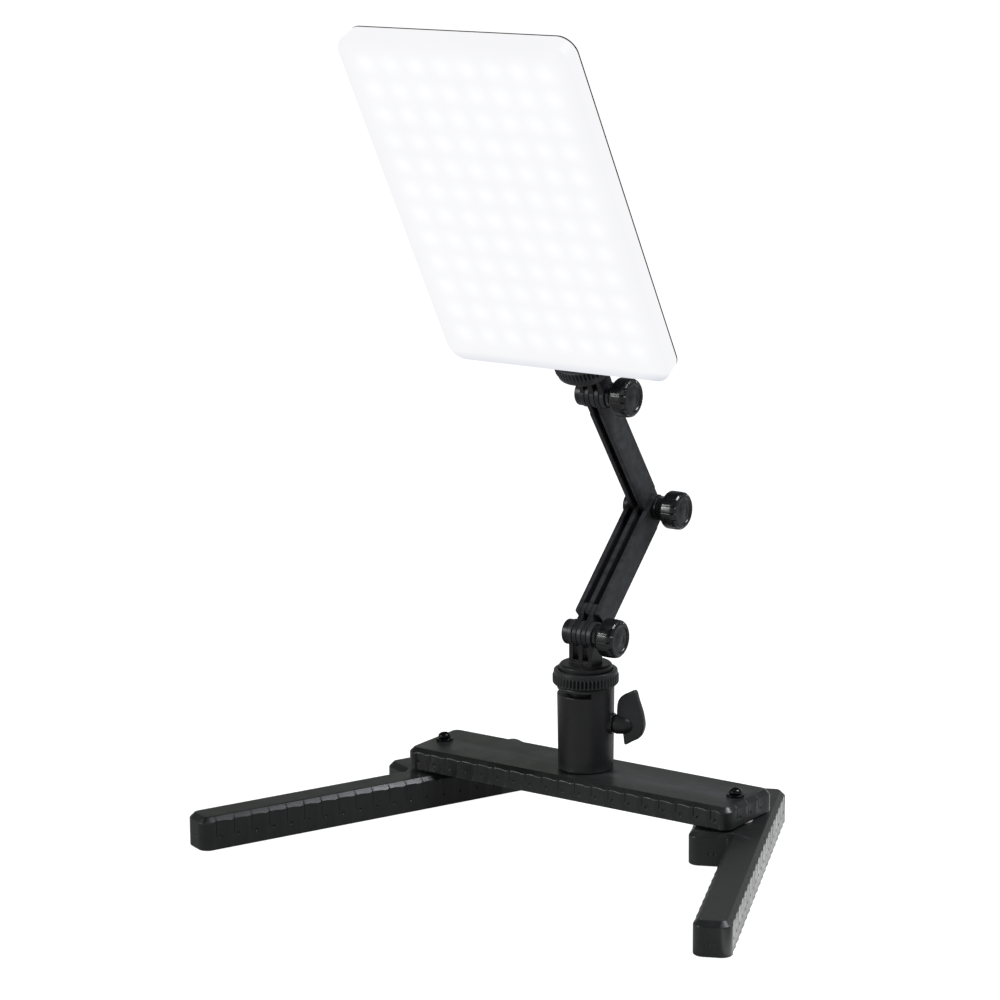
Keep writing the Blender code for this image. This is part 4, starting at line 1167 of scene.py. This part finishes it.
def diffuser_cover():
    """The milk-white front: a tray whose edge wraps round the housing plate."""
    half, low, high, front, rim = panel_size()
    wall = 2.2
    skirt = rim + SKIRT
    rings = [panel_outline(y, inset) for y, inset in (
        (front + wall, wall), (rim + 0.1, wall), (rim + 0.1, 1.5),
        (skirt, 1.5), (skirt, 0.8), (skirt - 0.3, 0.5))]
    bend = 1.5
    steps = 6
    for k in range(steps + 1):
        angle = math.pi / 2 * k / steps
        rings.append(panel_outline(front + bend * (1 - math.sin(angle)), bend * (1 - math.cos(angle))))
    rings.append(panel_outline(front, bend + 3.0))
    diffuser = shell("diffuser_cover", *loft(rings), PANEL, sharp=50)
    glow = diffuser_surface("milk_diffuser_lit", half, low, high)
    finished(diffuser, "panel", glow, ["diffuser"])


def cooling_fins(back):
    """Low fins across the back, above the box."""
    fins = []
    for k in range(9):
        z = 134.0 + 8.0 * k
        sides = rectangle(-44.0, 44.0, z - 1.1, z + 1.1)
        foot, crest = rounded_outline(sides, 1.0, 5), rounded_outline(sides, 1.0, 5, 0.5)
        sections = [upright(foot, back + 1.5), upright(foot, back + 3.4), upright(crest, back + 3.9)]
        fins.append(helper(*loft(sections), PANEL))
    return fins


def rear_shell(surfaces):
    """Housing plate with its box, stud boss and fins."""
    rim = panel_size()[4]
    back = rim + GAP
    lip = rim + SKIRT + 0.2
    plate = [panel_outline(y, inset) for y, inset in (
        (back, 2.0), (back + 0.15, 1.8), (lip - 0.15, 1.8), (lip, 1.6), (lip, 0.65), (lip + 0.1, 0.55),
        (back + 2.2, 0.55), (back + 2.35, 0.65), (back + 2.5, 0.95), (back + 2.5, 6.0))]
    housing = shell("rear_shell", *loft(plate), PANEL, sharp=42)
    box_end = COVER_FRONT - GAP
    sections = ((back + 1.5, 0.0), (back + 3.0, 0.0), (box_end - 0.3, 0.0), (box_end, 0.3))
    rings = [upright(rounded_outline(cover_box(), COVER_CORNER, 12, inset), y) for y, inset in sections]
    parts = [helper(*loft(rings), PANEL)]
    boss = [(0.01, 26.1), (13.2, 26.1), (14.0, 26.9), (14.0, 31.0), (12.2, 32.6), (12.2, 36.0), (0.01, 36.0)]
    parts.append(helper(*turned(soft_profile(boss, 0.4), 96), PANEL))
    weld(housing, *parts, *cooling_fins(back))
    hollow = rounded_outline(rectangle(-31.8, 31.8, 47.0, 115.8), 4.0, 6)
    cuts = [helper(*loft([upright(hollow, back + 2.0), upright(hollow, box_end + 3)]), PANEL)]
    cuts.append(helper(*rod(5.3, 20, 42.5), PANEL))
    inlet = in_panel("inlet_socket")
    points, faces = rod(6.3, 29.0, 39.0)
    cuts.append(helper(shifted(along_x(points), (0, inlet.y, inlet.z)), faces, PANEL))
    carve(housing, *cuts)
    finished(housing, "panel", surfaces["housing"], ["rear_housing"])


def dial_marks():
    """Cutters for the fine marks round the dimmer knob; the first and last are longer."""
    dial = in_panel("dimmer_knob")
    marks = 11
    cuts = []
    for k in range(marks):
        angle = math.radians(-150 + 300 * k / (marks - 1))
        inner, half = 9.6, 0.3
        outer = 11.6 if k in (0, marks - 1) else 10.8
        direction = (math.sin(angle), math.cos(angle))
        side = (direction[1], -direction[0])
        mark = [(dial.x + direction[0] * r + side[0] * s, dial.z + direction[1] * r + side[1] * s)
                for r, s in ((inner, -half), (outer, -half), (outer, half), (inner, half))]
        cuts.append(helper(*loft([upright(mark, COVER_BACK - 0.3), upright(mark, COVER_BACK + 1)]), PANEL))
    return cuts


def rear_cover(surfaces):
    """Back cover with a framed field, round the controls and screws."""
    front, back = COVER_FRONT, COVER_BACK
    sections = ((front, 0.2), (front + 0.25, 0.0), (back - 0.9, 0.0), (back - 0.45, 0.12),
                (back - 0.12, 0.45), (back, 0.9), (back, 1.8), (back - 0.35, 2.1), (back - 0.35, 2.8),
                (back, 3.1), (back, 6.0))
    rings = [upright(rounded_outline(cover_box(), COVER_CORNER, 12, inset), y) for y, inset in sections]
    cover = shell("rear_cover_plate", *loft(rings), PANEL, sharp=30)
    cuts = []
    holes = [(3.2, in_panel("dimmer_knob")), (4.3, in_panel("power_button"))]
    holes += [(1.8, in_panel("cover_screw_%d" % number)) for number in range(1, 5)]
    for radius, spot in holes:
        points, faces = rod(radius, front - 2, back + 2)
        cuts.append(helper(shifted(along_y(points), (spot.x, 0, spot.z)), faces, PANEL))
    carve(cover, *cuts, *dial_marks())
    finished(cover, "panel", surfaces["housing"], ["rear_cover"])


def cover_screws(surfaces):
    """Four screws with cross recesses that hold the back cover."""
    seat = COVER_BACK + GAP
    for number in range(1, 5):
        corners = [(0.01, 7.5), (1.5, 7.5), (1.5, seat), (2.8, seat), (2.75, seat + 0.6), (1.9, seat + 1.2),
                   (0.01, seat + 1.4)]
        points, faces = turned(soft_profile(corners, 0.25), 40)
        place = on_panel("cover_screw_%d" % number)
        screw = shell("cover_screw_head_%d" % number, along_y(points), faces, place)
        arms = []
        for turn in (0.0, math.pi / 2):
            rings = [upright(turned_outline(rectangle(-reach, reach, -half, half), turn), y)
                     for y, reach, half in ((seat + 0.35, 0.9, 0.35), (seat + 2.0, 1.75, 0.6))]
            arms.append(helper(*loft(rings), place))
        carve(screw, *arms)
        finished(screw, "panel", surfaces["black_steel"], ["cover_screw_%d" % number])


def dimmer_dial(surfaces):
    """Knurled dimmer knob on a skirt, hollow round its shaft."""
    start = COVER_BACK + GAP
    outer = [(2.9, start + 5.6), (2.9, start), (8.3, start), (8.4, start + 0.2), (8.4, start + 1.2),
             (7.9, start + 1.6), (7.6, start + 2.0), (7.5, start + 7.6), (7.2, start + 8.3),
             (6.5, start + 9.0), (5.6, start + 8.75), (0.4, start + 8.6)]
    base = [(0.4, start + 5.6)]
    toothed = (6, 7)

    def knurl(angle, row):
        return -0.32 * (0.5 + 0.5 * math.cos(36 * angle)) if row - len(base) in toothed else 0.0

    points, faces = turned(base + outer, 180, wave=knurl)
    knob = shell("dimmer_dial", along_y(points), faces, on_panel("dimmer_knob"), sharp=40)
    finished(knob, "dimmer", surfaces["dial"], ["dimmer_knob"])


def button_and_inlet(surfaces):
    """Dished power button, and the socket with its pin."""
    cap = COVER_BACK + 2.4
    corners = [(0.01, 8.3), (2.0, 8.3), (2.0, 11.6), (5.2, 11.6), (5.2, 13.1), (4.0, 13.1), (4.0, cap - 0.7),
               (3.5, cap - 0.05), (2.6, cap), (1.6, cap - 0.3), (0.01, cap - 0.4)]
    points, faces = turned(soft_profile(corners, 0.3), 64)
    button = shell("power_button_cap", along_y(points), faces, on_panel("power_button"))
    finished(button, "button", surfaces["knob"], ["power_button"])

    inlet = in_panel("inlet_socket")
    mouth = 34.2
    corners = [(0.01, mouth - 12), (6.0, mouth - 12), (6.0, mouth), (4.0, mouth), (4.0, mouth - 9.5),
               (0.9, mouth - 9.5), (0.9, mouth - 2.5), (0.01, mouth - 2.3)]
    points, faces = turned(soft_profile(corners, 0.25), 64)
    place = PANEL @ Matrix.Translation(Vector((0, inlet.y, inlet.z)) * MM)
    socket = shell("power_inlet", along_x(points), faces, place)
    finished(socket, "panel", surfaces["knob"], ["inlet_socket"])


# ---------------------------------------------------------------- nodes kept from the frame

KEPT = {
    "steel": ["base_stiffener", "column_bolt", "clamp_screw", "hinge_bolt_lower", "hinge_bolt_knee",
              "hinge_bolt_upper", "hinge_nut_lower", "hinge_nut_knee", "hinge_nut_upper", "pivot_nut_left",
              "pivot_nut_right", "dimmer_body"],
    "nylon": ["friction_washer_left", "friction_washer_right"],
    "brass": ["mount_insert"],
    "lamp_board": ["led_board"],
    "aluminium": ["heat_spreader"],
    "driver": ["driver_board"],
    "battery": ["battery_pack"],
    "base": ["base_cover"],
}


def keep_nodes(surfaces):
    """Inner pieces whose shape is already right get their material and softened edges."""
    for finish, nodes in KEPT.items():
        for node in nodes:
            obj = frame["nodes"][node]
            obj.data.materials.clear()
            obj.data.materials.append(surfaces[finish])
            softened(obj, 0.12, 2, 50)


# ---------------------------------------------------------------- stage

def area_light(name, at, towards, size, power, colour=(1, 1, 1)):
    data = bpy.data.lights.new(name, "AREA")
    data.shape = "RECTANGLE"
    data.size, data.size_y = size
    data.energy = power
    data.color = colour
    obj = bpy.data.objects.new(name, data)
    bpy.context.scene.collection.objects.link(obj)
    obj.location = at
    obj.rotation_euler = (Vector(towards) - Vector(at)).to_track_quat("-Z", "Y").to_euler()
    return obj


def studio_world():
    """A world that is white to look at but dim to reflect, a little brighter towards the horizon."""
    world = bpy.data.worlds.new("studio")
    bpy.context.scene.world = world
    world.use_nodes = True
    tree = world.node_tree
    background = tree.nodes["Background"]
    rays = tree.nodes.new("ShaderNodeLightPath")
    shade = tree.nodes.new("ShaderNodeMix")
    shade.data_type = "RGBA"
    coords = tree.nodes.new("ShaderNodeTexCoord")
    split = tree.nodes.new("ShaderNodeSeparateXYZ")
    tree.links.new(coords.outputs["Generated"], split.inputs["Vector"])
    height = spread(tree, split.outputs["Z"], 0.0, 1.0, 0.12, 0.6)
    tree.links.new(blended(tree, height, (0.42, 0.44, 0.415), (0.022, 0.022, 0.024)), shade.inputs[6])
    shade.inputs[7].default_value = (1, 1, 1, 1)
    tree.links.new(rays.outputs["Is Camera Ray"], shade.inputs[0])
    tree.links.new(shade.outputs[2], background.inputs["Color"])


def floor_white():
    """White to look at and dim to reflect, but for a bright strip beside the right leg."""
    made, tree, shader = new_surface("floor_white")
    tree.links.new(ramp(tree, noise(tree, 3, 2.0), [(0.3, (0.30, 0.30, 0.30)), (0.7, (0.33, 0.33, 0.33))]),
                   shader.inputs["Base Color"])
    shader.inputs["Roughness"].default_value = 0.9
    shader.inputs["Specular IOR Level"].default_value = 0.0
    shader.inputs["Emission Color"].default_value = (1, 1, 1, 1)
    rays = tree.nodes.new("ShaderNodeLightPath")
    seen = maths(tree, "MULTIPLY", rays.outputs["Is Camera Ray"], 1.0)
    split = tree.nodes.new("ShaderNodeSeparateXYZ")
    tree.links.new(object_point(tree), split.inputs["Vector"])
    leg = leg_place("right")
    side = leg.col[1]
    across = maths(tree, "ADD", maths(tree, "MULTIPLY", split.outputs["X"], side.x),
                   maths(tree, "MULTIPLY", split.outputs["Y"], side.y))
    start = leg.translation.x * side.x + leg.translation.y * side.y + LEG_ARM[1] * MM
    lit = maths(tree, "MULTIPLY", spread(tree, across, 0.0, 1.0, start, start + 0.002),
                spread(tree, across, 1.0, 0.0, start + 0.015, start + 0.03))
    mirrored = maths(tree, "MULTIPLY", rays.outputs["Is Glossy Ray"],
                     maths(tree, "ADD", 0.20, maths(tree, "MULTIPLY", lit, 1.6)))
    tree.links.new(maths(tree, "ADD", seen, mirrored), shader.inputs["Emission Strength"])
    return made


def stage():
    """World, floor and two soft boxes."""
    studio_world()
    mesh = bpy.data.meshes.new("floor")
    half = 6.0
    corners = level(rectangle(-half, half, -half, half), 0)
    mesh.from_pydata(corners, [], [(0, 1, 2, 3)])
    floor = bpy.data.objects.new("floor", mesh)
    bpy.context.scene.collection.objects.link(floor)
    floor.location = (0, 0, -0.0002)
    mesh.materials.append(floor_white())
    area_light("overhead_back_right", (0.66, 0.36, 1.25), (-0.1, -0.05, 0.0), (0.45, 0.6), 18.0,
               (0.92, 0.93, 1.0))
    area_light("front_left_box", (-0.95, -1.25, 0.66), (0, 0.05, 0.16), (0.22, 0.5), 8.0)


def camera():
    """Slightly right of the front and a little above, through a long lens."""
    data = bpy.data.cameras.new("view")
    data.lens = 122.07
    data.clip_end = 50
    obj = bpy.data.objects.new("view", data)
    bpy.context.scene.collection.objects.link(obj)
    foot = Vector((FOOT_HINGE.x, FOOT_HINGE.y, 0))
    forward = Vector((-0.5595, 0.8004, -0.2153)).normalized()
    right = Vector((0.8205, 0.5716, -0.0072)).normalized()
    up = right.cross(forward)
    rotation = Matrix((right, up, -forward)).transposed().to_4x4()
    obj.matrix_world = Matrix.Translation(foot + Vector((0.9142, -1.3824, 0.5343))) @ rotation
    bpy.context.scene.camera = obj
    bpy.context.scene.view_settings.view_transform = "Standard"


def main():
    camera()
    surfaces = make_surfaces()
    moulded_bar(surfaces)
    for side in ("left", "right"):
        moulded_leg(side, surfaces)
    pivot_screws(surfaces)
    column_tube(surfaces)
    wing(surfaces)
    lock_ring("lock_ring_knurled_lower", "lock_ring_lower", "lower_ring", HEAD, -RING_TO_EYE, STEM_R + GAP,
              surfaces)
    lock_ring("lock_ring_knurled_upper", "lock_ring_upper", "upper_ring", PANEL, RING_TO_EYE, 3.5, surfaces,
              flip=True)
    stem_end = FOOT_HINGE.z / MM - 45.0
    swivel("head_prongs", "head_swivel", "head", HEAD, stem_end, STEM_R, surfaces)
    swivel("top_prongs", "top_swivel", "top_mount", PANEL, 40.0, 3.2, surfaces, flip=True)
    arms(surfaces)
    hand_knob("hand_knob_lower", "hinge_knob_lower", "foot_knob", HEAD, 0.0, surfaces)
    hand_knob("hand_knob_knee", "hinge_knob_knee", "knee_knob", LOWER, LOWER_LINK, surfaces)
    hand_knob("hand_knob_upper", "hinge_knob_upper", "top_knob", PANEL, 0.0, surfaces)
    diffuser_cover()
    rear_shell(surfaces)
    rear_cover(surfaces)
    cover_screws(surfaces)
    dimmer_dial(surfaces)
    button_and_inlet(surfaces)
    keep_nodes(surfaces)
    stage()


main()
